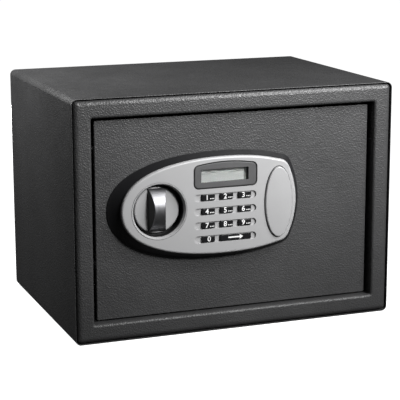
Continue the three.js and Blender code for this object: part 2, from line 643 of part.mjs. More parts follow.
function knobSpindle() {
  const reach = CRANK_RADIUS / Math.SQRT2;
  const web = new THREE.BoxGeometry(CRANK_RADIUS, CRANK_BACK - CRANK_FRONT, 10);
  web.translate(CRANK_RADIUS / 2, 0, 0).rotateY(-Math.PI / 4);
  web.translate(KNOB_X, (CRANK_FRONT + CRANK_BACK) / 2, KNOB_Z);
  return join(
    barY(KNOB_X, KNOB_Z, SPINDLE_RADIUS, DISC_FRONT + 2 + GAP, CRANK_BACK),
    barY(KNOB_X, KNOB_Z, 7, CRANK_FRONT, CRANK_BACK),
    solid(web),
    barY(KNOB_X + reach, KNOB_Z + reach, 5, CRANK_FRONT, CRANK_BACK),
    barY(KNOB_X + reach, KNOB_Z + reach, CRANK_PIN_RADIUS, CRANK_FRONT + 1, CARRIAGE_Y + CARRIAGE_SKIN + 2));
}

addPart('knob', knob(), satinMetal);
addPart('knob_spindle', knobSpindle(), zincSteel);
addPart('spindle_clip', cut(
  barY(KNOB_X, KNOB_Z, 9, DOOR_BACK + GAP, DOOR_BACK + 1.5),
  barY(KNOB_X, KNOB_Z, SPINDLE_RADIUS + GAP, DOOR_BACK, DOOR_BACK + 2),
  box(KNOB_X - 2, KNOB_X + 2, DOOR_BACK, DOOR_BACK + 2, KNOB_Z - 10, KNOB_Z)), zincSteel);

// Bolt work -------------------------------------------------------------------------------------

const CARRIAGE_LEFT = -118;
const CARRIAGE_RIGHT = -46;
const TAB_X = -112;
const TAB_SKIN = 2.5;
const CARRIAGE_BOTTOM = BOLT_ROWS[0] - 10;
const CARRIAGE_TOP = BOLT_ROWS[1] + 10;

function boltCarriage() {
  const back = CARRIAGE_Y + CARRIAGE_SKIN;
  const plate = frontPrism(
    roundedRectangle(CARRIAGE_LEFT, CARRIAGE_RIGHT, CARRIAGE_BOTTOM, CARRIAGE_TOP, 4), CARRIAGE_Y, back);
  const tabs = BOLT_ROWS.map((z) =>
    box(TAB_X, TAB_X + TAB_SKIN, CARRIAGE_Y, BOLT_Y + BOLT_RADIUS, z - BOLT_RADIUS, z + BOLT_RADIUS));
  const pinX = KNOB_X + CRANK_RADIUS / Math.SQRT2;
  const slotHalf = CRANK_PIN_RADIUS + SLOT_PLAY;
  const crankSlot = roundedRectangle(pinX - slotHalf, pinX + slotHalf,
    KNOB_Z + CRANK_RADIUS / Math.SQRT2 - slotHalf - 1, KNOB_Z + CRANK_RADIUS + slotHalf + 1,
    slotHalf - 0.01);
  const [y0, y1] = [CARRIAGE_Y - 1, back + 1];
  const guideHalf = STUD_RADIUS + 0.4;
  const guides = STUD_ROWS.map((z) => frontPrism(
    stadium(STUD_X + BOLT_THROW / 2, z, BOLT_THROW + 2 * guideHalf + 1, 2 * guideHalf), y0, y1));
  const notches = [PLUNGER_X, PLUNGER_X + BOLT_THROW].map((x) => box(
    x - PLUNGER_RADIUS - 0.5, x + PLUNGER_RADIUS + 0.5, y0, y1,
    CARRIAGE_BOTTOM - 1, CARRIAGE_BOTTOM + PLUNGER_TRAVEL + 0.5));
  return cut(join(plate, ...tabs), frontPrism(crankSlot, y0, y1), ...guides, ...notches);
}

/** A bolt with a chamfered tip. */
function bolt(z) {
  const chamfer = 1.2;
  const tip = new THREE.CylinderGeometry(BOLT_RADIUS - chamfer, BOLT_RADIUS, chamfer, 24);
  tip.rotateZ(Math.PI / 2).translate(BOLT_TIP + chamfer / 2, BOLT_Y, z);
  return join(barX(BOLT_Y, z, BOLT_RADIUS, BOLT_TIP + chamfer, TAB_X - GAP, 24), solid(tip));
}

/** A shoulder stud that guides the carriage. */
function guideStud(z) {
  const headFront = CARRIAGE_Y + CARRIAGE_SKIN + GAP;
  return join(
    barY(STUD_X, z, STUD_RADIUS, DOOR_BACK + GAP, headFront + 0.5),
    barY(STUD_X, z, STUD_RADIUS + 2, headFront, headFront + 1.6));
}

addPart('bolt_carriage', boltCarriage(), zincSteel);
addPart('bolt_lower', bolt(BOLT_ROWS[0]), polishedSteel);
addPart('bolt_upper', bolt(BOLT_ROWS[1]), polishedSteel);
addPart('guide_stud_lower', guideStud(STUD_ROWS[0]), zincSteel);
addPart('guide_stud_upper', guideStud(STUD_ROWS[1]), zincSteel);

// Solenoid --------------------------------------------------------------------------------------

const PLUNGER_Y = CARRIAGE_Y + CARRIAGE_SKIN / 2;
const PLUNGER_TOP = CARRIAGE_BOTTOM - 1.5;
const SOLENOID = { bottom: 28, top: 58, halfWidth: 13, halfDepth: 9, skin: 2 };

function solenoidFrame() {
  const { bottom, top, halfWidth, halfDepth, skin } = SOLENOID;
  const [x0, x1] = [PLUNGER_X - halfWidth, PLUNGER_X + halfWidth];
  const [y0, y1] = [PLUNGER_Y - halfDepth, PLUNGER_Y + halfDepth];
  return cut(box(x0, x1, y0, y1, bottom, top),
    box(x0 + skin, x1 - skin, y0 - 1, y1 + 1, bottom + skin, top - skin),
    barZ(PLUNGER_X, PLUNGER_Y, PLUNGER_RADIUS + 0.5, bottom - 1, top + 1));
}

addPart('solenoid_frame', solenoidFrame(), zincSteel);
addPart('solenoid_coil', cut(
  barZ(PLUNGER_X, PLUNGER_Y, SOLENOID.halfDepth - GAP,
    SOLENOID.bottom + SOLENOID.skin + GAP, SOLENOID.top - SOLENOID.skin - GAP, 20),
  barZ(PLUNGER_X, PLUNGER_Y, PLUNGER_RADIUS + 0.5, 0, SOLENOID.top)), copperWire);
addPart('solenoid_plunger',
  barZ(PLUNGER_X, PLUNGER_Y, PLUNGER_RADIUS, SOLENOID.bottom + 5, PLUNGER_TOP), polishedSteel);

// Emergency lock --------------------------------------------------------------------------------

const LOCK_FRONT = PANEL_FRONT + 8.7;
const LOCK_BACK = DOOR_BACK + 14;

function overrideCover() {
  const edge = 1.2;
  const outline = ellipse(OVERRIDE_X, OVERRIDE_Z, OVERRIDE_HALF_WIDTH, OVERRIDE_HALF_HEIGHT);
  const rounded = new THREE.ExtrudeGeometry(outline, {
    depth: 3,
    bevelThickness: edge,
    bevelSize: edge,
    bevelOffset: -edge,
    bevelSegments: 3,
    curveSegments: OVAL_STEPS,
  });
  rounded.rotateX(Math.PI / 2).translate(0, PANEL_FRONT - OVERRIDE_PROUD + edge + 3, 0);
  return solid(rounded);
}

function overridePlug() {
  const keyway = box(OVERRIDE_X - 1.2, OVERRIDE_X + 1.2, LOCK_FRONT - 2, LOCK_FRONT + 12,
    OVERRIDE_Z - 4, OVERRIDE_Z + 4);
  return cut(join(
    barY(OVERRIDE_X, OVERRIDE_Z, PLUG_RADIUS, LOCK_FRONT - 0.6, LOCK_BACK),
    barY(OVERRIDE_X, OVERRIDE_Z, 4, LOCK_BACK - 0.5, LOCK_BACK + 5)), keyway);
}

addPart('override_cover', overrideCover(), silverPlastic);
addPart('override_lock_body', cut(join(
  barY(OVERRIDE_X, OVERRIDE_Z, LOCK_RADIUS, LOCK_FRONT, LOCK_BACK, 24),
  barY(OVERRIDE_X, OVERRIDE_Z, LOCK_RADIUS + 2.5, LOCK_FRONT, HOUSING_FLOOR - GAP, 24)),
barY(OVERRIDE_X, OVERRIDE_Z, PLUG_RADIUS + GAP, LOCK_FRONT - 1, LOCK_BACK + 1, 24)), polishedSteel);
addPart('override_plug', overridePlug(), brass);
addPart('override_cam', cut(join(
  barY(OVERRIDE_X, OVERRIDE_Z, 7, LOCK_BACK + GAP, LOCK_BACK + 2.8),
  box(OVERRIDE_X - 4, OVERRIDE_X + 4, LOCK_BACK + GAP, LOCK_BACK + 2.8, OVERRIDE_Z - 22, OVERRIDE_Z)),
barY(OVERRIDE_X, OVERRIDE_Z, 4 + GAP, LOCK_BACK, LOCK_BACK + 5)), zincSteel);

// Batteries and reset button --------------------------------------------------------------------

const TRAY_BACK = COVER_FRONT - GAP;
const TRAY_FRONT = TRAY_BACK - TRAY_DEPTH;
const CELL_Y = TRAY_FRONT + TRAY_WALL + CELL_RADIUS + GAP;

function batteryTray() {
  const [x0, x1] = [TRAY_X - TRAY_HALF_WIDTH, TRAY_X + TRAY_HALF_WIDTH];
  const [z0, z1] = [TRAY_Z - TRAY_HALF_HEIGHT, TRAY_Z + TRAY_HALF_HEIGHT];
  return cut(frontPrism(roundedRectangle(x0, x1, z0, z1, 2), TRAY_FRONT, TRAY_BACK),
    frontPrism(roundedRectangle(x0 + TRAY_WALL, x1 - TRAY_WALL, z0 + TRAY_WALL, z1 - TRAY_WALL, 1),
      TRAY_FRONT + TRAY_WALL, TRAY_BACK + 1));
}

/** One cell with its raised positive end; alternate cells are turned over. */
function cell(index) {
  const x = TRAY_X + (index - (CELL_COUNT - 1) / 2) * CELL_PITCH;
  const up = index % 2 === 0 ? 1 : -1;
  const half = CELL_LENGTH / 2;
  const nub = [up * (half - 1.5), up * half].sort((a, b) => a - b);
  const can = [-up * half, up * (half - 1)].sort((a, b) => a - b);
  return join(barZ(x, CELL_Y, CELL_RADIUS, TRAY_Z + can[0], TRAY_Z + can[1]),
    barZ(x, CELL_Y, 2.7, TRAY_Z + nub[0], TRAY_Z + nub[1], 16));
}

function batteryCover() {
  const front = COVER_BACK + GAP;
  const back = front + 2;
  const [x0, x1] = [TRAY_X - TRAY_HALF_WIDTH - 2, TRAY_X + TRAY_HALF_WIDTH + 2];
  const [z0, z1] = [TRAY_Z - TRAY_HALF_HEIGHT - 2, TRAY_Z + TRAY_HALF_HEIGHT + 2];
  const grooves = [0, 1, 2, 3].map((i) => box(x0 + 5 + 2.4 * i, x0 + 6.2 + 2.4 * i,
    back - 0.6, back + 1, TRAY_Z - 12, TRAY_Z + 12));
  return cut(frontPrism(roundedRectangle(x0, x1, z0, z1, 3), front, back), ...grooves);
}

addPart('battery_tray', batteryTray(), blackPlastic);
for (let index = 0; index < CELL_COUNT; index += 1) {
  addPart(`battery_${index + 1}`, cell(index), cellWrap);
}
addPart('battery_cover', batteryCover(), blackPlastic);
addPart('reset_button', join(
  barY(RESET_X, RESET_Z, RESET_RADIUS, COVER_FRONT - 8, COVER_BACK + 3),
  barY(RESET_X, RESET_Z, RESET_RADIUS + 1.5, COVER_FRONT - 1.6, COVER_FRONT - GAP)), redPlastic);

export default safe;
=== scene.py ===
"""An in-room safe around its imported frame: finer shells, figures on the keys, and every finish.

Lengths are in millimetres until a mesh is made, apart from the lamps' and the camera's, which are in
metres. The places and outer sizes of the pieces are read from the frame.
"""

import json
import math

import bmesh
import bpy
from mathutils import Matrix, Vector


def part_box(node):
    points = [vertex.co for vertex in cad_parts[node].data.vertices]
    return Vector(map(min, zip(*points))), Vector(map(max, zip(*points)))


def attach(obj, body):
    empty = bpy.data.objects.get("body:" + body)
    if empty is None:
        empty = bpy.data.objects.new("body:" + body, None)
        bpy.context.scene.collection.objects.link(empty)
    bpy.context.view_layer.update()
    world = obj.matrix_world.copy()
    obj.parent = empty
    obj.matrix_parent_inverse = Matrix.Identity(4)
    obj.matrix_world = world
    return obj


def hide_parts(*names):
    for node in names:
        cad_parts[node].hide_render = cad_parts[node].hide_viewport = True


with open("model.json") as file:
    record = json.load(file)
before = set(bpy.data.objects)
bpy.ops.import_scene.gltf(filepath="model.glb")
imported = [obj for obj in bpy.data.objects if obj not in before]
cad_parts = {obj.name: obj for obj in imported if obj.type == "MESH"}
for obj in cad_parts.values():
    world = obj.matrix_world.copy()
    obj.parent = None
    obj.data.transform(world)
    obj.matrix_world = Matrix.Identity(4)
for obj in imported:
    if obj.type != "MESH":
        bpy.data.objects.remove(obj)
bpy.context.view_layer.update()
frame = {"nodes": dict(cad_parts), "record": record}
nodes = frame["nodes"]

MM = 0.001
TURN = 2 * math.pi
SHARP_ANGLE = 40
GAP = 0.3                        # clearance between neighbouring pieces


# ---- Places read from the frame -----------------------------------------------------------------

def span(node):
    """A CAD node's extent along X, Y and Z, each as (low, high) in millimetres."""
    low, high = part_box(node)
    return [(low[i] / MM, high[i] / MM) for i in range(3)]


def middle(pair):
    return (pair[0] + pair[1]) / 2


def half(pair):
    return (pair[1] - pair[0]) / 2


# ---- Mesh making --------------------------------------------------------------------------------

def mesh_object(name, points, faces, smooth_angle=SHARP_ANGLE):
    """A new object from points in millimetres, smooth except across edges sharper than smooth_angle."""
    mesh = bpy.data.meshes.new(name)
    mesh.from_pydata([[c * MM for c in point] for point in points], [], faces)
    made = bmesh.new()
    made.from_mesh(mesh)
    bmesh.ops.recalc_face_normals(made, faces=made.faces)
    made.to_mesh(mesh)
    made.free()
    shade(mesh, smooth_angle)
    obj = bpy.data.objects.new(name, mesh)
    bpy.context.scene.collection.objects.link(obj)
    return obj


def shade(mesh, smooth_angle):
    for polygon in mesh.polygons:
        polygon.use_smooth = True
    mesh.set_sharp_from_angle(angle=math.radians(smooth_angle))


def loft(name, rings, closed=False, smooth_angle=SHARP_ANGLE):
    """Joins rings that have equally many points. An open loft gets a face at each end."""
    count = len(rings[0])
    points = [point for ring in rings for point in ring]
    faces = []
    pairs = len(rings) if closed else len(rings) - 1
    for r in range(pairs):
        here = r * count
        there = (r + 1) % len(rings) * count
        for i in range(count):
            j = (i + 1) % count
            faces.append((here + i, here + j, there + j, there + i))
    if not closed:
        faces.append(tuple(range(count)))
        faces.append(tuple(range(len(points) - count, len(points))))
    return mesh_object(name, points, faces, smooth_angle)


def at_depth(outline, y):
    """A front-view outline, as points at depth y."""
    return [(x, y, z) for x, z in outline]


def inset(outline, distance):
    """The outline moved inwards along its own normals. The outline runs anticlockwise."""
    count = len(outline)
    moved = []
    for i, (x, z) in enumerate(outline):
        before = outline[i - 1]
        after = outline[(i + 1) % count]
        dx, dz = after[0] - before[0], after[1] - before[1]
        length = math.hypot(dx, dz)
        moved.append((x - dz / length * distance, z + dx / length * distance))
    return moved


def quarter(steps):
    """Points of a quarter circle of radius 1, from (0, 1) to (1, 0)."""
    turns = [TURN / 4 * i / steps for i in range(steps + 1)]
    return [(math.sin(t), math.cos(t)) for t in turns]


def rounded_slab(name, outline, front, back, radius, steps=6, crown=0.0):
    """A slab with its front edge rounded, and its front face raised by crown towards the middle."""
    rings = [at_depth(outline, back)]
    for across, along in reversed(quarter(steps)):
        rings.append(at_depth(inset(outline, radius * (1 - across)), front + radius * (1 - along)))
    if crown:
        centre_x = sum(x for x, _ in outline) / len(outline)
        centre_z = sum(z for _, z in outline) / len(outline)
        rim = inset(outline, radius)
        for share in (0.75, 0.5, 0.25, 0.08):
            ring = [(centre_x + (x - centre_x) * share, centre_z + (z - centre_z) * share) for x, z in rim]
            rings.append(at_depth(ring, front - crown * (1 - share ** 2)))
    return loft(name, rings)


def arc(centre_u, centre_v, radius, start, end, steps):
    """Points along an arc, with angles in degrees."""
    turns = [math.radians(start + (end - start) * i / steps) for i in range(steps + 1)]
    return [(centre_u + radius * math.cos(t), centre_v + radius * math.sin(t)) for t in turns]


def round_rectangle(x, z, radius, steps=6):
    """The outline of a rectangle between the pairs x and z, with round corners."""
    corners = ((x[1], z[0], -1, 1, -90), (x[1], z[1], -1, -1, 0), (x[0], z[1], 1, -1, 90),
               (x[0], z[0], 1, 1, 180))
    outline = []
    for u, v, inward_u, inward_v, start in corners:
        outline += arc(u + inward_u * radius, v + inward_v * radius, radius, start, start + 90, steps)
    return outline


def grown(pair, by):
    return (pair[0] - by, pair[1] + by)


def oval(x, z, half_width, half_height, steps=96):
    turns = [TURN * i / steps for i in range(steps)]
    return [(x + half_width * math.cos(t), z + half_height * math.sin(t)) for t in turns]


def bezier(a, b, c, d, steps):
    """Points along a cubic curve, without its last one."""
    points = []
    for i in range(steps):
        t = i / steps
        weights = ((1 - t) ** 3, 3 * t * (1 - t) ** 2, 3 * t * t * (1 - t), t ** 3)
        points.append(tuple(sum(w * p[k] for w, p in zip(weights, (a, b, c, d))) for k in (0, 1)))
    return points


def cut_and_ease(obj, cutters, width):
    """Cuts the cutters out of obj, then eases every sharp edge that is left."""
    for cutter in cutters:
        change = obj.modifiers.new("cut", "BOOLEAN")
        change.operation = "DIFFERENCE"
        change.solver = "EXACT"
        change.object = cutter
    if width:
        ease = obj.modifiers.new("ease", "BEVEL")
        ease.width = width * MM
        ease.segments = 3
        ease.limit_method = "ANGLE"
        ease.angle_limit = math.radians(SHARP_ANGLE)
        ease.miter_outer = "MITER_ARC"
    finished = bpy.data.meshes.new_from_object(obj.evaluated_get(bpy.context.evaluated_depsgraph_get()))
    obj.modifiers.clear()
    obj.data = finished
    shade(finished, SHARP_ANGLE)
    for cutter in cutters:
        bpy.data.objects.remove(cutter)
    return obj


def prism(outline, y0, y1):
    return loft("cutter", [at_depth(outline, y0), at_depth(outline, y1)])


def place(obj, body, slot, material, *stands_for):
    """Puts a finished piece on its body and in its material, in place of CAD nodes; its slot is not used.

    The modifier keeps flat faces evenly lit right up to their rounded edges.
    """
    obj.data.materials.clear()
    obj.data.materials.append(material)
    even = obj.modifiers.new("even", "WEIGHTED_NORMAL")
    even.keep_sharp = True
    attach(obj, body)
    if stands_for:
        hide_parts(*stands_for)
    return obj


# ---- Materials ----------------------------------------------------------------------------------

def as_colour(tone):
    """A colour as it is, or a grey as a colour."""
    return tone if isinstance(tone, tuple) else (tone, tone, tone)


class Finish:
    """A node material under construction: its shader, and short ways to add nodes to it."""

    def __init__(self, name, base, roughness, metallic=0.0, coat=0.0, specular=0.5):
        self.material = bpy.data.materials.new(name)
        self.material.use_nodes = True
        self.tree = self.material.node_tree
        self.shader = self.tree.nodes["Principled BSDF"]
        self.shader.inputs["Base Color"].default_value = (*base, 1)
        self.shader.inputs["Roughness"].default_value = roughness
        self.shader.inputs["Metallic"].default_value = metallic
        self.shader.inputs["Coat Weight"].default_value = coat
        self.shader.inputs["Coat Roughness"].default_value = 0.15
        self.shader.inputs["Specular IOR Level"].default_value = specular
        self.place = self.tree.nodes.new("ShaderNodeTexCoord").outputs["Object"]

    def node(self, kind, **values):
        made = self.tree.nodes.new(kind)
        for key, value in values.items():
            setattr(made, key, value)
        return made

    def link(self, source, target):
        self.tree.links.new(source, target)

    def stretched(self, scale):
        """Object coordinates stretched by scale along each axis."""
        mapping = self.node("ShaderNodeMapping")
        mapping.inputs["Scale"].default_value = scale
        self.link(self.place, mapping.inputs["Vector"])
        return mapping.outputs["Vector"]

    def noise(self, size, detail=3.0, where=None, roughness=0.5):
        """Noise whose features are about size millimetres across."""
        made = self.node("ShaderNodeTexNoise")
        made.inputs["Scale"].default_value = 1 / (size * MM)
        made.inputs["Detail"].default_value = detail
        made.inputs["Roughness"].default_value = roughness
        self.link(where or self.place, made.inputs["Vector"])
        return made.outputs["Fac"]

    def cells(self, size):
        """Rounded cells about size millimetres across."""
        made = self.node("ShaderNodeTexVoronoi", feature="SMOOTH_F1")
        made.inputs["Scale"].default_value = 1 / (size * MM)
        made.inputs["Smoothness"].default_value = 0.6
        self.link(self.place, made.inputs["Vector"])
        return made.outputs["Distance"]

    def ramp(self, source, stops):
        """A colour ramp with (position, colour or grey) stops."""
        made = self.node("ShaderNodeValToRGB")
        elements = made.color_ramp.elements
        while len(elements) < len(stops):
            elements.new(0.5)
        for element, (position, colour) in zip(elements, stops):
            element.position = position
            element.color = (*as_colour(colour), 1)
        self.link(source, made.inputs["Fac"])
        return made.outputs["Color"]

    def maths(self, operation, a, b):
        made = self.node("ShaderNodeMath", operation=operation)
        for socket, value in zip(made.inputs, (a, b)):
            if isinstance(value, (int, float)):
                socket.default_value = value
            else:
                self.link(value, socket)
        return made.outputs[0]

    def tint(self, source, low, high, spread=(0.3, 0.7)):
        """The base colour runs from low to high with the source."""
        colours = self.ramp(source, [(spread[0], low), (spread[1], high)])
        self.link(colours, self.shader.inputs["Base Color"])

    def gloss(self, source, low, high, spread=(0.3, 0.7)):
        """The roughness runs from low to high with the source."""
        values = self.ramp(source, [(spread[0], low), (spread[1], high)])
        self.link(values, self.shader.inputs["Roughness"])

    def bump(self, *layers):
        """Bump layers, each (height source, strength, distance in millimetres)."""
        normal = None
        for source, strength, distance in layers:
            made = self.node("ShaderNodeBump")
            made.inputs["Strength"].default_value = strength
            made.inputs["Distance"].default_value = distance * MM
            self.link(source, made.inputs["Height"])
            if normal:
                self.link(normal, made.inputs["Normal"])
            normal = made.outputs["Normal"]
        self.link(normal, self.shader.inputs["Normal"])


def shades(colour, spread):
    """A slightly darker and a slightly lighter version of a colour."""
    return tuple(c * (1 - spread) for c in colour), tuple(c * (1 + spread) for c in colour)


def powder_coat():
    """Dark grey textured powder coat: pebbled like fine leather, with broad drifts in tone and gloss."""
    base = (0.055, 0.055, 0.056)
    finish = Finish("powder_coat", base, 0.42, specular=0.5)
    drift = finish.noise(60, 2)
    speckle = finish.noise(1.1, 2)
    tone = finish.maths("ADD", finish.maths("MULTIPLY", drift, 0.6), finish.maths("MULTIPLY", speckle, 0.4))
    finish.tint(tone, *shades(base, 0.16))
    finish.gloss(finish.noise(9, 3), 0.38, 0.48)
    finish.bump((finish.cells(1.4), 0.95, 0.38), (finish.noise(0.6, 2), 0.4, 0.08))
    return finish.material


def plated_steel(name, colour, roughness, grain):
    """Plated or ground metal: faint cloudy patches and grain drawn out along one axis."""
    finish = Finish(name, colour, roughness, metallic=1.0)
    lines = finish.noise(0.5, 2, finish.stretched(grain))
    finish.tint(finish.noise(8, 3), *shades(colour, 0.12))
    finish.gloss(lines, roughness * 0.8, roughness * 1.3)
    finish.bump((lines, 0.15, 0.03))
    return finish.material


def silver_paint(name, grey):
    """Silver-painted moulding: very fine metallic sparkle, satin all over."""
    base = (grey, grey, grey * 1.01)
    finish = Finish(name, base, 0.5, metallic=0.15, specular=0.3)
    finish.tint(finish.noise(0.25, 2), *shades(base, 0.05))
    finish.gloss(finish.noise(14, 3), 0.42, 0.50)
    finish.bump((finish.noise(0.35, 3), 0.12, 0.03), (finish.noise(18, 1), 0.08, 0.15))
    return finish.material


def satin_metal():
    """Plated grip: satin, with a fine vertical grain that streaks the highlight."""
    base = (0.25, 0.25, 0.26)
    finish = Finish("satin_metal", base, 0.42, metallic=1.0)
    grain = finish.noise(0.6, 2, finish.stretched((1.0, 1.0, 0.06)))
    finish.tint(finish.noise(6, 3), *shades(base, 0.06))
    finish.gloss(grain, 0.34, 0.52)
    finish.bump((grain, 0.15, 0.02))
    return finish.material


def moulded(name, base, roughness, texture=0.5, depth=0.25):
    """Moulded plastic or rubber with a fine spark texture and gently uneven gloss."""
    finish = Finish(name, base, roughness)
    finish.tint(finish.noise(20, 3), *shades(base, 0.08))
    finish.gloss(finish.noise(3, 3), roughness * 0.88, roughness * 1.12)
    finish.bump((finish.noise(texture, 2), depth, 0.05), (finish.noise(12, 1), 0.1, 0.1))
    return finish.material


def clear_window():
    """Clear moulded window with faint waviness."""
    finish = Finish("clear_plastic", (0.96, 0.97, 0.97), 0.04)
    finish.shader.inputs["Transmission Weight"].default_value = 1.0
    finish.shader.inputs["IOR"].default_value = 1.15
    finish.gloss(finish.noise(10, 2), 0.02, 0.06)
    finish.bump((finish.noise(25, 1), 0.05, 0.1))
    return finish.material


def display_cell():
    """Pale liquid-crystal cell, with a darker strip along its right end and a faint reflector grain."""
    finish = Finish("display_cell", (0.92, 0.94, 0.91), 0.35)
    (x0, x1), _, _ = span("display_lcd")
    split = finish.node("ShaderNodeSeparateXYZ")
    finish.link(finish.place, split.inputs[0])
    strip_width = 5.2
    strip = finish.maths("GREATER_THAN", split.outputs["X"], (x1 - strip_width) * MM)
    grain = finish.noise(0.3, 2)
    pale = finish.ramp(grain, [(0.3, (0.90, 0.92, 0.89)), (0.7, (0.97, 0.98, 0.96))])
    mix = finish.node("ShaderNodeMix", data_type="RGBA")
    finish.link(strip, mix.inputs["Factor"])
    finish.link(pale, mix.inputs["A"])
    mix.inputs["B"].default_value = (0.46, 0.47, 0.46, 1)
    finish.link(mix.outputs["Result"], finish.shader.inputs["Base Color"])
    finish.gloss(finish.noise(5, 2), 0.28, 0.36)
    finish.bump((grain, 0.05, 0.02))
    return finish.material


def felt():
    """Needle felt: short tangled fibres and soft mottling."""
    base = (0.030, 0.030, 0.033)
    finish = Finish("grey_felt", base, 0.95)
    finish.shader.inputs["Sheen Weight"].default_value = 0.4
    finish.tint(finish.noise(2.2, 6, roughness=0.7), *shades(base, 0.45))
    finish.bump((finish.noise(0.8, 6, finish.stretched((1, 0.35, 1))), 0.8, 0.4),
                (finish.noise(0.8, 6, finish.stretched((0.35, 1, 1))), 0.8, 0.4))
    return finish.material


def winding():
    """Enamelled copper wire wound round a bobbin: fine rings across its axis."""
    finish = Finish("copper_winding", (0.42, 0.17, 0.07), 0.35, metallic=0.6)
    rings = finish.node("ShaderNodeTexWave", wave_type="BANDS", bands_direction="Z")
    rings.inputs["Scale"].default_value = 1 / (3.2 * MM) / 2
    rings.inputs["Distortion"].default_value = 0.3
    finish.link(finish.place, rings.inputs["Vector"])
    finish.tint(rings.outputs["Fac"], (0.20, 0.07, 0.03), (0.52, 0.22, 0.09), (0.2, 0.8))
    finish.gloss(finish.noise(2, 2), 0.3, 0.42)
    finish.bump((rings.outputs["Fac"], 0.6, 0.15))
    return finish.material


def board():
    """Solder resist over copper tracks: pale tracks on a dark green ground."""
    finish = Finish("circuit_board", (0.02, 0.12, 0.05), 0.35, coat=0.3)
    tracks = finish.node("ShaderNodeTexBrick")
    tracks.inputs["Scale"].default_value = 1 / (6 * MM)
    tracks.inputs["Mortar Size"].default_value = 0.03
    tracks.inputs["Color1"].default_value = (0.015, 0.10, 0.04, 1)
    tracks.inputs["Color2"].default_value = (0.018, 0.12, 0.05, 1)
    tracks.inputs["Mortar"].default_value = (0.05, 0.22, 0.09, 1)
    finish.link(finish.stretched((1, 0, 1)), tracks.inputs["Vector"])
    finish.link(tracks.outputs["Color"], finish.shader.inputs["Base Color"])
    finish.gloss(finish.noise(4, 2), 0.3, 0.4)
    finish.bump((tracks.outputs["Fac"], 0.3, 0.05))
    return finish.material


def cell_sleeve():
    """Battery sleeve: a plain blue body with a paler band round one third, and bare metal ends."""
    finish = Finish("cell_wrap", (0.03, 0.07, 0.18), 0.3, coat=0.3)
    _, _, (z0, z1) = span("battery_1")
    split = finish.node("ShaderNodeSeparateXYZ")
    finish.link(finish.place, split.inputs[0])
    along = finish.node("ShaderNodeMapRange")
    along.inputs["From Min"].default_value = z0 * MM
    along.inputs["From Max"].default_value = z1 * MM
    finish.link(split.outputs["Z"], along.inputs["Value"])
    metal, blue, grey = (0.6, 0.6, 0.6), (0.03, 0.07, 0.18), (0.45, 0.46, 0.48)
    bands = finish.ramp(along.outputs["Result"],
                        [(0.0, metal), (0.03, blue), (0.66, grey), (0.96, metal)])
    finish.tree.nodes[-1].color_ramp.interpolation = "CONSTANT"
    finish.link(bands, finish.shader.inputs["Base Color"])
    finish.gloss(finish.noise(3, 2), 0.25, 0.35)
    finish.bump((finish.noise(4, 2), 0.08, 0.05))
    return finish.material


MATERIALS = {
    "powder_coat": powder_coat(),
    "zinc_steel": plated_steel("zinc_steel", (0.55, 0.55, 0.56), 0.34, (1, 1, 0.1)),
    "polished_steel": plated_steel("polished_steel", (0.66, 0.66, 0.67), 0.20, (1, 0.1, 1)),
    "silver_plastic": silver_paint("silver_plastic", 0.45),
    # a copy of the face's silver paint made a little darker for the sunk knob disc: painted shade
    "shaded_knob_silver": silver_paint("shaded_knob_silver", 0.43),
    "satin_metal": satin_metal(),
    "black_plastic": moulded("black_plastic", (0.012, 0.012, 0.013), 0.42, texture=0.6, depth=0.35),
    "key_plastic": moulded("key_plastic", (0.010, 0.010, 0.011), 0.30, texture=0.3, depth=0.10),
    "grey_plastic": moulded("grey_plastic", (0.098, 0.098, 0.100), 0.45, texture=0.4),
    "clear_plastic": clear_window(),
    "display_cell": display_cell(),
    "black_rubber": moulded("black_rubber", (0.015, 0.015, 0.015), 0.75, texture=0.5, depth=0.4),
    "circuit_board": board(),
    "brass": plated_steel("brass", (0.58, 0.40, 0.14), 0.3, (0.1, 1, 1)),
    "copper_winding": winding(),
    "red_plastic": moulded("red_plastic", (0.40, 0.02, 0.015), 0.35),
    "cell_wrap": cell_sleeve(),
    "grey_felt": felt(),
}
WHITE_PRINT = moulded("white_print", (0.90, 0.90, 0.90), 0.5, texture=0.2, depth=0.05)


# ---- CAD nodes that stay ------------------------------------------------------------------------

# how far each node's edges are eased; the rest get EASED_REST
EASED_REST = 0.15
EASED = {"lock_cover": 0.3, "door_box": 0.3, "rear_panel": 0.3, "bolt_carriage": 0.25, "battery_cover": 0.5,
         "battery_tray": 0.3, "override_cam": 0.3, "solenoid_frame": 0.3, "knob_spindle": 0.3,
         "override_lock_body": 0.4, "override_plug": 0.2, "reset_button": 0.3, "bolt_upper": 0.4,
         "bolt_lower": 0.4, "hinge_pin_top": 0.4, "hinge_pin_bottom": 0.4, "hinge_washer": 0.2}


def finish_node(name, slot):
    """Gives a CAD node its material, joins its facets, and eases its edges."""
    obj = nodes[name]
    obj.data.materials.clear()
    obj.data.materials.append(MATERIALS[slot])
    for polygon in obj.data.polygons:
        polygon.use_smooth = True
    weld = obj.modifiers.new("weld", "WELD")
    weld.merge_threshold = 0.002 * MM
    flatten = obj.modifiers.new("flatten", "DECIMATE")
    flatten.decimate_type = "DISSOLVE"
    flatten.angle_limit = math.radians(0.5)
    ease = obj.modifiers.new("ease", "BEVEL")
    ease.width = EASED.get(name, EASED_REST) * MM
    ease.segments = 2
    ease.limit_method = "ANGLE"
    ease.angle_limit = math.radians(SHARP_ANGLE)
    obj.modifiers.new("normals", "WEIGHTED_NORMAL")


for entry in frame["record"]["subparts"]:
    finish_node(entry["node"], entry["material_slot"])


# ---- Cabinet ------------------------------------------------------------------------------------

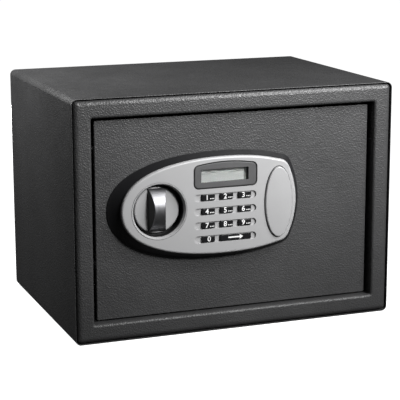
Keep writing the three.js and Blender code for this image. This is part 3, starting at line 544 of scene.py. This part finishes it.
EDGE_BEND = 6                    # outer radius of the cabinet's long edges
WALL = 2.5
LIP = 0.8                        # the wrap is thinned to this where the frame sits inside it
SEAM = 1.3                       # dark seam between the wrap and the frame
FRAME_BORDER = 20                # from the cabinet's side to the door opening
FRAME_RIM = 5.5                  # how far the frame's outer rim turns back
FRAME_ROUND = 3.8                # depth of the frame's rounded outer edge
FRAME_SLOPE = 5.5                # and its width across the front
FRAME_FOLD = 3.0                 # radius of the frame's inner edge
FRAME_SHEET = 2.5
OPENING_CORNER = 1.5
ANCHOR_X = 100
ANCHOR_Y = 20
ANCHOR_HOLE = 5                  # radius
PIVOT_HOLE = 3.9
MAT_COLUMNS = 68
MAT_ROWS = 44
MAT_HOLE = ANCHOR_HOLE + 2
MAT_PRESSED = 6                  # the mat is pressed thinner this far in from its edge
MAT_EDGE_SHARE = 0.55            # to this share of its thickness
MAT_RIPPLE = 0.12


def slab_ring(x, z, radius, y, steps=8):
    return at_depth(round_rectangle(x, z, radius, steps), y)


def hole_cutter(centre, radius, reach, axis):
    """A round cutter through centre, along Y or Z."""
    x, y, z = centre
    rings = []
    for d in (-reach, reach):
        if axis == "Y":
            rings.append(at_depth(oval(x, z, radius, radius, 40), y + d))
        else:
            rings.append([(u, v, z + d) for u, v in oval(x, y, radius, radius, 40)])
    return loft("cutter", rings)


def build_shell():
    """The wrap: a sheet bent at its four long edges, thinned to a lip where the frame sits inside it."""
    x, (front, back), z = span("body_shell")
    shoulder = span("front_frame")[1][0] + FRAME_RIM + GAP
    ease = 0.4
    lip = [(0, front + ease), (0.15, front + 0.1), (LIP / 2, front), (LIP - 0.15, front + 0.1),
           (LIP, front + ease)]
    profile = lip + [(LIP, shoulder), (WALL, shoulder), (WALL, back - ease), (WALL - ease, back),
                     (ease, back), (0, back - ease)]
    rings = [slab_ring(grown(x, -step), grown(z, -step), EDGE_BEND - step, y) for step, y in profile]
    shell = loft("shell", rings, closed=True)
    cutters = [hole_cutter((side * ANCHOR_X, ANCHOR_Y, 0), ANCHOR_HOLE, 8, "Z") for side in (-1, 1)]
    cut_and_ease(shell, cutters, 0)
    place(shell, "cabinet", "powder_coat", MATERIALS["powder_coat"], "body_shell")


def build_front_frame():
    """The front: a pressing with rounded edges, hollow behind, its flange returned into the opening."""
    _, (front, back), _ = span("front_frame")
    cabinet_x, _, cabinet_z = span("body_shell")
    inset_by = LIP + SEAM
    outer_x, outer_z = grown(cabinet_x, -inset_by), grown(cabinet_z, -inset_by)
    opening_x, opening_z = grown(cabinet_x, -FRAME_BORDER), grown(cabinet_z, -FRAME_BORDER)
    corner = EDGE_BEND - inset_by
    rim_back = front + FRAME_RIM

    def outside(step, y):
        return slab_ring(grown(outer_x, -step), grown(outer_z, -step), max(corner - step, 0.1), y)

    def opening(step, y):
        return slab_ring(grown(opening_x, step), grown(opening_z, step), OPENING_CORNER + step, y)

    rings = [outside(FRAME_SHEET, front + FRAME_SHEET), outside(FRAME_SHEET, rim_back), outside(0, rim_back)]
    for across, along in reversed(quarter(8)):
        rings.append(outside(FRAME_SLOPE * (1 - across), front + FRAME_ROUND * (1 - along)))
    for across, along in quarter(6):
        rings.append(opening(FRAME_FOLD * (1 - across), front + FRAME_FOLD * (1 - along)))
    edge = 0.5
    rings += [opening(0, back - edge), opening(edge, back), opening(FRAME_SHEET - edge, back),
              opening(FRAME_SHEET, back - edge), opening(FRAME_SHEET, front + FRAME_SHEET)]
    frame_piece = loft("frame", rings, closed=True)
    pin_x, pin_y, _ = span("hinge_pin_top")
    pivots = [hole_cutter((middle(pin_x), middle(pin_y), pivot_z), PIVOT_HOLE, 3, "Z")
              for pivot_z in opening_z]
    cut_and_ease(frame_piece, pivots, 0)
    place(frame_piece, "cabinet", "powder_coat", MATERIALS["powder_coat"], "front_frame")


def build_mat():
    """The mat: felt cut to the floor, its edge pressed thin and its top gently uneven."""
    (x0, x1), (y0, y1), (z0, z1) = span("floor_mat")
    columns, rows = MAT_COLUMNS, MAT_ROWS
    points, faces = [], []
    for layer in (0, 1):
        for j in range(rows + 1):
            for i in range(columns + 1):
                x = x0 + (x1 - x0) * i / columns
                y = y0 + (y1 - y0) * j / rows
                edge = min(x - x0, x1 - x, y - y0, y1 - y)
                thin = MAT_EDGE_SHARE + (1 - MAT_EDGE_SHARE) * min(edge / MAT_PRESSED, 1)
                ripple = MAT_RIPPLE * math.sin(x * 0.09 + 1.3 * math.sin(y * 0.05)) * math.cos(y * 0.07)
                top = z0 + (z1 - z0) * (thin - 0.08) + ripple * min(edge / 20, 1)
                points.append((x, y, top if layer else z0))
    stride = columns + 1
    base = stride * (rows + 1)

    def solid_cell(i, j):
        x = x0 + (x1 - x0) * (i + 0.5) / columns
        y = y0 + (y1 - y0) * (j + 0.5) / rows
        return all(math.hypot(x - side * ANCHOR_X, y - ANCHOR_Y) > MAT_HOLE for side in (-1, 1))

    for j in range(rows):
        for i in range(columns):
            if not solid_cell(i, j):
                continue
            a = j * stride + i
            faces.append((a + base, a + 1 + base, a + 1 + stride + base, a + stride + base))
            faces.append((a, a + stride, a + 1 + stride, a + 1))
            sides = (((i, j - 1), (a, a + 1)), ((i + 1, j), (a + 1, a + 1 + stride)),
                     ((i, j + 1), (a + 1 + stride, a + stride)), ((i - 1, j), (a + stride, a)))
            for (ni, nj), (p, q) in sides:
                outside = not (0 <= ni < columns and 0 <= nj < rows)
                if outside or not solid_cell(ni, nj):
                    faces.append((p, q, q + base, p + base))
    mat = mesh_object("mat", points, faces, 60)
    place(mat, "cabinet", "grey_felt", MATERIALS["grey_felt"], "floor_mat")


build_shell()
build_front_frame()
build_mat()


# ---- Door ---------------------------------------------------------------------------------------

# radii, and for the cable its place and radius
SPINDLE_HOLE = 5.3
CABLE_HOLE = (-15, 112, 8)
LOCK_HOLE = 9.3
SCREW_HOLE = 2.3
DOOR_CORNER = 1.2
DOOR_EDGE = 0.9
KNOB_X = middle(span("knob")[0])
KNOB_Z = middle(span("knob")[2])
OVERRIDE_X = middle(span("override_cover")[0])
OVERRIDE_Z = middle(span("override_cover")[2])
PANEL_HOLES = [(KNOB_X, KNOB_Z, SPINDLE_HOLE), CABLE_HOLE, (OVERRIDE_X, OVERRIDE_Z, LOCK_HOLE)]


def build_door():
    """The door's front plate, with holes for the spindle, the cable, the lock and the panel's screws."""
    x, (front, back), z = span("door_plate")
    plate = rounded_slab("door", round_rectangle(x, z, DOOR_CORNER), front, back, DOOR_EDGE, steps=4)
    screws = [span(name) for name in ("panel_screw_left", "panel_screw_right")]
    holes = PANEL_HOLES + [(middle(sx), middle(sz), SCREW_HOLE) for sx, _, sz in screws]
    cutters = [prism(oval(hx, hz, radius, radius, 40), front - 2, back + 2) for hx, hz, radius in holes]
    cut_and_ease(plate, cutters, 0)
    place(plate, "door", "powder_coat", MATERIALS["powder_coat"], "door_plate")


build_door()


# ---- Control panel ------------------------------------------------------------------------------

FACE_X, (FACE_FRONT, FACE_BACK), FACE_SPAN_Z = span("panel_face")
FACE_Z = middle(FACE_SPAN_Z)
FACE_HALF = half(FACE_SPAN_Z)


def panel_outline(steps=20):
    """The panel's outline, anticlockwise from the nose: long rounded nose, full-cornered right end."""
    nose, tip = FACE_X
    h = FACE_HALF
    lower = [
        ((nose, 0), (nose, -0.711 * h), (nose + 52, -h), (nose + 110, -h)),
        ((nose + 110, -h), (nose + 142, -h), (nose + 156, -0.937 * h), (nose + 174, -0.850 * h)),
        ((nose + 174, -0.850 * h), (nose + 179, -0.826 * h), (nose + 182, -0.741 * h),
         (tip - 6.8, -0.652 * h)),
        ((tip - 6.8, -0.652 * h), (tip - 2.5, -0.455 * h), (tip, -0.217 * h), (tip, 0)),
    ]
    points = [p for curve in lower for p in bezier(*curve, steps)]
    mirrored = [(x, -z) for x, z in reversed(points[1:])]
    return [(x, z + FACE_Z) for x, z in points + [(tip, 0)] + mirrored]


def stadium(x, z):
    return round_rectangle(x, z, half(z) - 0.01, 10)


KEY_NAMES = [f"key_{i}" for i in range(1, 10)] + ["key_0", "key_start"]
KEY_LIP = 0.8                    # each key's lip behind the face
KEY_SLOT_X = (-49.7, 18.3)
KEY_SLOT_HALF = 3.75             # half the height of a slot
SLOT_FLOOR = FACE_FRONT + 1.8
PANEL_EDGE = 2.4                 # rounding of the silver face
HOUSING_WALL = 2.5
HOUSING_EDGE = 0.6               # easing of the housing's foot
HOUSING_SKIN = 2                 # thickness of the housing's floor
WELL_RADIUS = 27
WELL_WALL = 1.4
COLLAR_DISH = 2.0                # how far the collar's inner edge lies behind its outer edge
DISPLAY_GROOVE = 1.4             # width of the groove round the display
DISPLAY_CORNER = 4.5
DISPLAY_ARCH = 2.6               # rise of its top edge
WINDOW_MARGIN = 2                # overlap of the display's frame on its lens
OVERRIDE_GROOVE = 0.9            # width of the groove round the oval cover
COVER_CROWN = 0.4                # doming of the oval cover
COVER_EDGE = 1.3


def key_span(name):
    """A key cap's X and Z extents, without the lip behind the face."""
    x, _, z = span(name)
    return grown(x, -KEY_LIP), grown(z, -KEY_LIP)


def display_outline(grow):
    """The display frame's outline: round corners and a gently arched top."""
    x, _, z = span("display_bezel")
    x, z = grown(x, grow), grown(z, grow)
    corner = DISPLAY_CORNER + grow
    shoulder = z[1] - DISPLAY_ARCH
    outline = arc(x[0] + corner, z[0] + corner, corner, 180, 270, 8)
    outline += arc(x[1] - corner, z[0] + corner, corner, 270, 360, 8)
    outline += arc(x[1] - corner, shoulder - corner, corner, 0, 80, 8)
    steps = 16
    for i in range(1, steps):
        t = i / steps
        u = x[1] - corner + (x[0] - x[1] + 2 * corner) * t
        outline.append((u, shoulder + DISPLAY_ARCH * (1 - (2 * t - 1) ** 2)))
    outline += arc(x[0] + corner, shoulder - corner, corner, 100, 180, 8)
    return outline


def build_face():
    """The silver face: a rounded slab with the key slots, key holes, display, knob and lock openings."""
    face = rounded_slab("face", panel_outline(), FACE_FRONT, FACE_BACK, PANEL_EDGE, steps=8)
    front, back = FACE_FRONT - 3, FACE_BACK + 3
    cutters = []
    for name in ("key_1", "key_4", "key_7", "key_0"):
        row = middle(span(name)[2])
        slot = stadium(KEY_SLOT_X, (row - KEY_SLOT_HALF, row + KEY_SLOT_HALF))
        cutters.append(prism(slot, front, SLOT_FLOOR))
    for name in KEY_NAMES:
        x, z = key_span(name)
        cutters.append(prism(round_rectangle(grown(x, 0.3), grown(z, 0.28), 1.7), SLOT_FLOOR - 0.5, back))
    collar = half(span("knob_collar")[0]) + GAP
    cutters.append(prism(oval(KNOB_X, KNOB_Z, collar, collar, 128), front, back))
    cutters.append(prism(display_outline(DISPLAY_GROOVE), front, back))
    cover_x, _, cover_z = span("override_cover")
    cutters.append(prism(oval(OVERRIDE_X, OVERRIDE_Z, half(cover_x) + OVERRIDE_GROOVE,
                              half(cover_z) + OVERRIDE_GROOVE, 128), front, back))
    cut_and_ease(face, cutters, 0.3)
    place(face, "door", "silver_plastic", MATERIALS["silver_plastic"], "panel_face")


def turned(name, profile, x, z, steps=96, closed=True):
    """A piece turned about the Y direction through (x, z), from (radius, y) points."""
    return loft(name, [at_depth(oval(x, z, radius, radius, steps), y) for radius, y in profile], closed)


def build_housing():
    """The black tray behind the face, flaring out to the door, and a black liner in the knob's well, partly
    black plastic and partly painted shade for the deep well.
    """
    x, (front, back), z = span("panel_housing")
    outline = panel_outline()
    centre_x = middle(FACE_X)
    foot_scale_x = half(x) / half(FACE_X)
    foot_scale_z = half(z) / FACE_HALF
    shift_x = middle(x) - centre_x
    shift_z = middle(z) - FACE_Z

    def flared(share, edge=0.0):
        """The outer wall's outline, from 0 at the face to 1 at the door."""
        sx = 1 + (foot_scale_x - 1) * share
        sz = 1 + (foot_scale_z - 1) * share
        ring = [(centre_x + (u - centre_x) * sx + shift_x * share,
                 FACE_Z + (v - FACE_Z) * sz + shift_z * share) for u, v in outline]
        return inset(ring, edge) if edge else ring

    depth = back - front
    rings = [at_depth(flared(1, HOUSING_EDGE), back), at_depth(flared(1), back - HOUSING_EDGE)]
    for share in (0.8, 0.6, 0.4, 0.2, 0.05):
        rings.append(at_depth(flared(share), front + depth * share))
    rings.append(at_depth(flared(0, 0.5), front))
    rings.append(at_depth(flared(0, HOUSING_WALL), front))
    rings.append(at_depth(flared(0, HOUSING_WALL), back - HOUSING_SKIN))
    tray = loft("tray", rings)
    cutters = [prism(oval(hx, hz, radius, radius, 40), back - 4, back + 2) for hx, hz, radius in PANEL_HOLES]
    cut_and_ease(tray, cutters, 0)
    place(tray, "door", "black_plastic", MATERIALS["black_plastic"], "panel_housing")
    # black liner in the knob's well: partly black plastic, partly painted shade that stands for the depth of
    # the well
    outer = WELL_RADIUS + WELL_WALL
    floor = back - HOUSING_SKIN - 0.05
    profile = [(WELL_RADIUS, front + 0.2), (WELL_RADIUS + 0.3, front), (outer - 0.2, front),
               (outer, front + 0.2), (outer, floor), (WELL_RADIUS, floor)]
    place(turned("knob_well_shade_liner", profile, KNOB_X, KNOB_Z), "door", "black_plastic", MATERIALS["black_plastic"])


def build_collar():
    """The flush silver ring round the knob, dished towards the well."""
    x, (front, back), _ = span("knob_collar")
    outer = half(x)
    dished = front + COLLAR_DISH
    inner_edge = [(WELL_RADIUS, back), (WELL_RADIUS, dished + 0.5), (WELL_RADIUS + 0.15, dished + 0.1),
                  (WELL_RADIUS + 0.5, dished - 0.15)]
    outer_edge = [(outer - 0.9, front + 0.12), (outer - 0.5, front), (outer - 0.2, front + 0.05),
                  (outer, front + 0.3), (outer, back)]
    collar = turned("collar", inner_edge + outer_edge, KNOB_X, KNOB_Z, 128)
    place(collar, "door", "silver_plastic", MATERIALS["silver_plastic"], "knob_collar")


def build_display():
    """The display's frame, a flat moulding with its window cut through, and a black ring in the groove round
    it as painted shade.
    """
    _, (front, back), _ = span("display_bezel")
    bezel = rounded_slab("display_frame", display_outline(0), front, back, 0.5, steps=4)
    (x0, x1), _, (z0, z1) = span("display_lens")
    window = round_rectangle(grown((x0, x1), -WINDOW_MARGIN), grown((z0, z1), -WINDOW_MARGIN), 0.8)
    cut_and_ease(bezel, [prism(window, front - 2, back + 2)], 0.25)
    place(bezel, "door", "grey_plastic", MATERIALS["grey_plastic"], "display_bezel")
    # a black ring laid just behind the face in the groove round the display: painted shade that darkens the
    # groove
    outside = display_outline(DISPLAY_GROOVE - 0.05)
    groove_shade_ring = rounded_slab("display_groove_shade", outside, front + 0.9, front + 1.9, 0.05)
    cut_and_ease(groove_shade_ring, [prism(display_outline(0.03), front - 2, back + 2)], 0)
    place(groove_shade_ring, "door", "black_rubber", MATERIALS["black_rubber"])


def build_override_cover():
    """The oval pull-off cover, slightly domed."""
    x, (front, back), z = span("override_cover")
    outline = oval(OVERRIDE_X, OVERRIDE_Z, half(x), half(z), 128)
    cover = rounded_slab("lock_door", outline, front + COVER_CROWN, back, COVER_EDGE, crown=COVER_CROWN)
    place(cover, "override_cover", "silver_plastic", MATERIALS["silver_plastic"], "override_cover")


build_face()
build_housing()
build_collar()
build_display()
build_override_cover()


# ---- Keys ---------------------------------------------------------------------------------------

CAP_CORNER = 1.6
CAP_EDGE = 0.55                  # rounding of a cap's front rim
FIGURE_SIZE = 7.4
FIGURE_THICKNESS = 0.04
FIGURE_WEIGHT = 0.12             # how much the font's strokes are thickened
FIGURE_SHIFT = -1.6              # from a cap's middle to its figure, for 1 to 9
ZERO_SHIFT = 0.6                 # and for 0
DOT_RADIUS = 0.6
DOT_PITCH = 1.7
DOT_START = 2.2                  # from a cap's middle to its first dot
DOT_DROP = 1.2
ARROW_REACH = 8.2                # half the arrow's length
ARROW_HEAD = 3.8
ARROW_HALF_WIDTH = 2.4
SHAFT_HALF_WIDTH = 0.75


def print_mesh(name, polygons, y, body):
    """White print on a key: flat polygons in X and Z, a hair thick."""
    points, faces = [], []
    for polygon in polygons:
        start = len(points)
        count = len(polygon)
        points += at_depth(polygon, y - FIGURE_THICKNESS) + at_depth(polygon, y)
        faces.append(tuple(range(start, start + count)))
        faces.append(tuple(range(start + count, start + 2 * count)))
        faces += [(start + i, start + (i + 1) % count, start + count + (i + 1) % count, start + count + i)
                  for i in range(count)]
    place(mesh_object(name, points, faces, 30), body, "key_plastic", WHITE_PRINT)


def print_figure(name, text, x, z, y, body):
    """One figure, from Blender's own font, as a thin solid on the key."""
    curve = bpy.data.curves.new(name, "FONT")
    curve.body = text
    curve.size = FIGURE_SIZE * MM
    curve.extrude = FIGURE_THICKNESS / 2 * MM
    curve.offset = FIGURE_WEIGHT * MM
    curve.align_x = "CENTER"
    curve.align_y = "CENTER"
    letter = bpy.data.objects.new(name + "_curve", curve)
    bpy.context.scene.collection.objects.link(letter)
    letter.rotation_euler = (math.pi / 2, 0, 0)
    letter.location = Vector((x, y - FIGURE_THICKNESS / 2, z)) * MM
    bpy.context.view_layer.update()
    mesh = bpy.data.meshes.new_from_object(letter.evaluated_get(bpy.context.evaluated_depsgraph_get()))
    mesh.transform(letter.matrix_world)
    bpy.data.objects.remove(letter)
    obj = bpy.data.objects.new(name, mesh)
    bpy.context.scene.collection.objects.link(obj)
    place(obj, body, "key_plastic", WHITE_PRINT)


def build_key(name):
    """A key cap with a rounded rim, its lip behind the face, and its print."""
    x, z = key_span(name)
    _, (front, back), _ = span(name)
    outline = round_rectangle(x, z, CAP_CORNER, 8)
    lip = round_rectangle(grown(x, KEY_LIP), grown(z, KEY_LIP), CAP_CORNER + 0.2, 8)
    rings = [at_depth(lip, back), at_depth(lip, back - 1), at_depth(outline, back - 1)]
    for across, along in reversed(quarter(5)):
        rings.append(at_depth(inset(outline, CAP_EDGE * (1 - across)), front + CAP_EDGE * (1 - along)))
    cap = loft("cap_" + name.removeprefix("key_"), rings)
    place(cap, name, "key_plastic", MATERIALS["key_plastic"], name)
    centre, row = middle(x), middle(z)
    label = name.removeprefix("key_")
    if label == "0":
        print_figure("figure_0", "0", centre + ZERO_SHIFT, row, front, name)
    elif label.isdigit():
        print_figure("figure_" + label, label, centre + FIGURE_SHIFT, row, front, name)
        dots = [oval(centre + DOT_START + DOT_PITCH * i, row - DOT_DROP, DOT_RADIUS, DOT_RADIUS, 16)
                for i in range(3)]
        print_mesh("dots_" + label, dots, front, name)
    else:
        tail, tip = centre - ARROW_REACH, centre + ARROW_REACH
        neck = tip - ARROW_HEAD
        lower = [(tail, row - SHAFT_HALF_WIDTH), (neck, row - SHAFT_HALF_WIDTH),
                 (neck, row - ARROW_HALF_WIDTH)]
        upper = [(u, 2 * row - v) for u, v in reversed(lower)]
        print_mesh("start_arrow", [lower + [(tip, row)] + upper], front, name)


for key_name in KEY_NAMES:
    build_key(key_name)


# ---- Knob ---------------------------------------------------------------------------------------

KNOB_SINK = 8.3                  # disc face below the panel's face
KNOB_DISC = 3.4
KNOB_EDGE = 1.9                  # rounding of the disc's rim
HUB_RADIUS = 9
GRIP_REACH = 22.4                # half the length of the grip
GRIP_HALF_WIDTH = 9.7
GRIP_DRAFT = 20                  # degrees that each side leans in
GRIP_STRIP = 0.7                 # thickness of the bright strip along the grip's arc
GRIP_STEPS = 48


def grip_piece(name, disc_front, peak, low, high, ease):
    """Part of the grip between two heights, each a function of the arc's height above the disc."""
    arc_radius = (GRIP_REACH ** 2 + peak ** 2) / (2 * peak)
    lean = math.tan(math.radians(GRIP_DRAFT))
    sections = []
    for i in range(GRIP_STEPS + 1):
        along = 0.997 * GRIP_REACH * math.sin(math.pi * (i / GRIP_STEPS - 0.5))
        arc = math.sqrt(arc_radius ** 2 - along ** 2) - (arc_radius - peak)
        bottom, top = low(arc), high(arc)
        corner = GRIP_HALF_WIDTH - top * lean
        side = [(GRIP_HALF_WIDTH - bottom * lean, bottom)]
        for across, along_edge in reversed(quarter(5)):
            side.append((corner - ease * (1 - across), top - ease * (1 - along_edge)))
        right = [(KNOB_X + u, disc_front - v) for u, v in side]
        left = [(2 * KNOB_X - u, y) for u, y in reversed(right)]
        sections.append([(u, y, KNOB_Z + along) for u, y in right + left])
    return loft(name, sections, smooth_angle=50)


def build_knob():
    """The knob: a sunk disc with an eased rim, and a grip whose body is black as painted shade on its sides,
    with a bright strip along its arc.
    """
    x, (front, back), _ = span("knob")
    radius = half(x)
    disc_front = FACE_FRONT + KNOB_SINK
    disc_back = disc_front + KNOB_DISC
    profile = [(SPINDLE_HOLE, disc_front + 2), (SPINDLE_HOLE, back), (HUB_RADIUS, back),
               (HUB_RADIUS, disc_back), (radius, disc_back)]
    profile += [(radius - KNOB_EDGE * (1 - across), disc_front + KNOB_EDGE * (1 - along))
                for across, along in reversed(quarter(6))]
    profile += [(radius * share, disc_front) for share in (0.7, 0.4, 0.02)]
    disc = turned("knob_disc", profile, KNOB_X, KNOB_Z, closed=False)
    place(disc, "knob", "silver_plastic", MATERIALS["shaded_knob_silver"], "knob")

    peak = disc_front - front
    # the grip's body is black plastic that stands for the shade on its sides: painted shade
    body = grip_piece("knob_grip", disc_front, peak, lambda arc: -0.6,
                      lambda arc: max(arc - GRIP_STRIP, -0.4), 0.05)
    place(body, "knob", "black_plastic", MATERIALS["black_plastic"])
    strip = grip_piece("knob_grip_strip", disc_front, peak, lambda arc: arc - GRIP_STRIP,
                       lambda arc: arc, 0.35)
    place(strip, "knob", "satin_metal", MATERIALS["satin_metal"])


build_knob()


# ---- Stage, light and camera --------------------------------------------------------------------

ROOM_LIGHT = 0.03                # strength of the light from all round
FLOOR_GLOW = 1.0                 # how bright the floor looks to the camera
FLOOR_BOUNCE = 0.04              # and how much of the light it throws back up
# each area lamp's name, its place and its aim, its width and height, and its watts
LAMPS = (
    ("top_light", (0.31, -0.46, 0.58), (0.04, -0.12, 0.25), (0.30, 0.26), 3.2),
    ("side_light", (-0.30, 0.09, 0.42), (-0.17, 0.07, 0.26), (0.15, 0.4), 1.5),
    ("right_light", (1.6, 0.9, 0.6), (0.0, 0.1, 0.12), (1.2, 1.0), 2.5),
    ("rear_light", (0.0, 1.5, 0.14), (0.0, 0.12, 0.13), (0.30, 0.15), 6),
)
SPOT_PLACE = (0.60, -1.25, 0.85)
SPOT_AIM = (0.08, -0.12, 0.31)
SPOT_CONE = 32                   # degrees
SPOT_RADIUS = 0.14
SPOT_POWER = 108
CAMERA_AZIMUTH = -20.731         # degrees
CAMERA_ELEVATION = 12.338
CAMERA_ROLL = -0.142
CAMERA_TARGET = (0.005664, 0, 0.11098)
CAMERA_DISTANCE = 1.628768
LENS = 132.22
SENSOR_WIDTH = 36


def stage_colour(tree, seen, unseen):
    """A grey that the camera sees as one value and every other ray as another."""
    path = tree.nodes.new("ShaderNodeLightPath")
    mix = tree.nodes.new("ShaderNodeMapRange")
    mix.inputs["To Min"].default_value = unseen
    mix.inputs["To Max"].default_value = seen
    tree.links.new(path.outputs["Is Camera Ray"], mix.inputs["Value"])
    return mix.outputs["Result"]


def pale_floor():
    """A plain pale floor that throws little light back up."""
    side = 20000
    floor = mesh_object("floor", [(-side, -side, 0), (side, -side, 0), (side, side, 0), (-side, side, 0)],
                        [(0, 1, 2, 3)])
    pale = Finish("pale_floor", (0.8, 0.8, 0.8), 0.8, specular=0.1)
    pale.link(stage_colour(pale.tree, 0.8, FLOOR_BOUNCE), pale.shader.inputs["Base Color"])
    pale.shader.inputs["Emission Color"].default_value = (1, 1, 1, 1)
    pale.link(stage_colour(pale.tree, FLOOR_GLOW, 0), pale.shader.inputs["Emission Strength"])
    floor.data.materials.append(pale.material)


def surroundings():
    """A white backdrop for the camera, and a dim room for the light that falls on the safe."""
    world = bpy.data.worlds.new("studio")
    bpy.context.scene.world = world
    world.use_nodes = True
    background = world.node_tree.nodes["Background"]
    background.inputs["Color"].default_value = (1, 1, 1, 1)
    world.node_tree.links.new(stage_colour(world.node_tree, 1.0, ROOM_LIGHT), background.inputs["Strength"])


def hang(light, where, aim):
    """Hangs a lamp at a place, pointing at its aim, both in metres."""
    lamp = bpy.data.objects.new(light.name, light)
    lamp.location = where
    lamp.visible_camera = False
    lamp.rotation_euler = (Vector(aim) - Vector(where)).to_track_quat("-Z", "Y").to_euler()
    bpy.context.scene.collection.objects.link(lamp)


def studio():
    """The ground, the surroundings, the area lamps and a soft spot that fades to the lower left."""
    bpy.context.scene.view_settings.view_transform = "Standard"
    pale_floor()
    surroundings()
    for name, where, aim, size, power in LAMPS:
        light = bpy.data.lights.new(name, "AREA")
        light.shape = "RECTANGLE"
        light.size, light.size_y = size
        light.energy = power
        hang(light, where, aim)
    spot = bpy.data.lights.new("front_spot", "SPOT")
    spot.spot_size = math.radians(SPOT_CONE)
    spot.spot_blend = 1
    spot.shadow_soft_size = SPOT_RADIUS
    spot.energy = SPOT_POWER
    hang(spot, SPOT_PLACE, SPOT_AIM)


def camera():
    """The camera: a long lens, looking from the left and slightly from above."""
    azimuth = math.radians(CAMERA_AZIMUTH)
    elevation = math.radians(CAMERA_ELEVATION)
    away = Vector((math.sin(azimuth) * math.cos(elevation), -math.cos(azimuth) * math.cos(elevation),
                   math.sin(elevation)))
    lens = bpy.data.cameras.new("camera")
    lens.lens = LENS
    lens.sensor_width = SENSOR_WIDTH
    holder = bpy.data.objects.new("camera", lens)
    holder.location = Vector(CAMERA_TARGET) + away * CAMERA_DISTANCE
    holder.rotation_euler = away.to_track_quat("Z", "Y").to_euler()
    holder.rotation_euler.rotate_axis("Z", math.radians(CAMERA_ROLL))
    bpy.context.scene.collection.objects.link(holder)
    bpy.context.scene.camera = holder


studio()
camera()
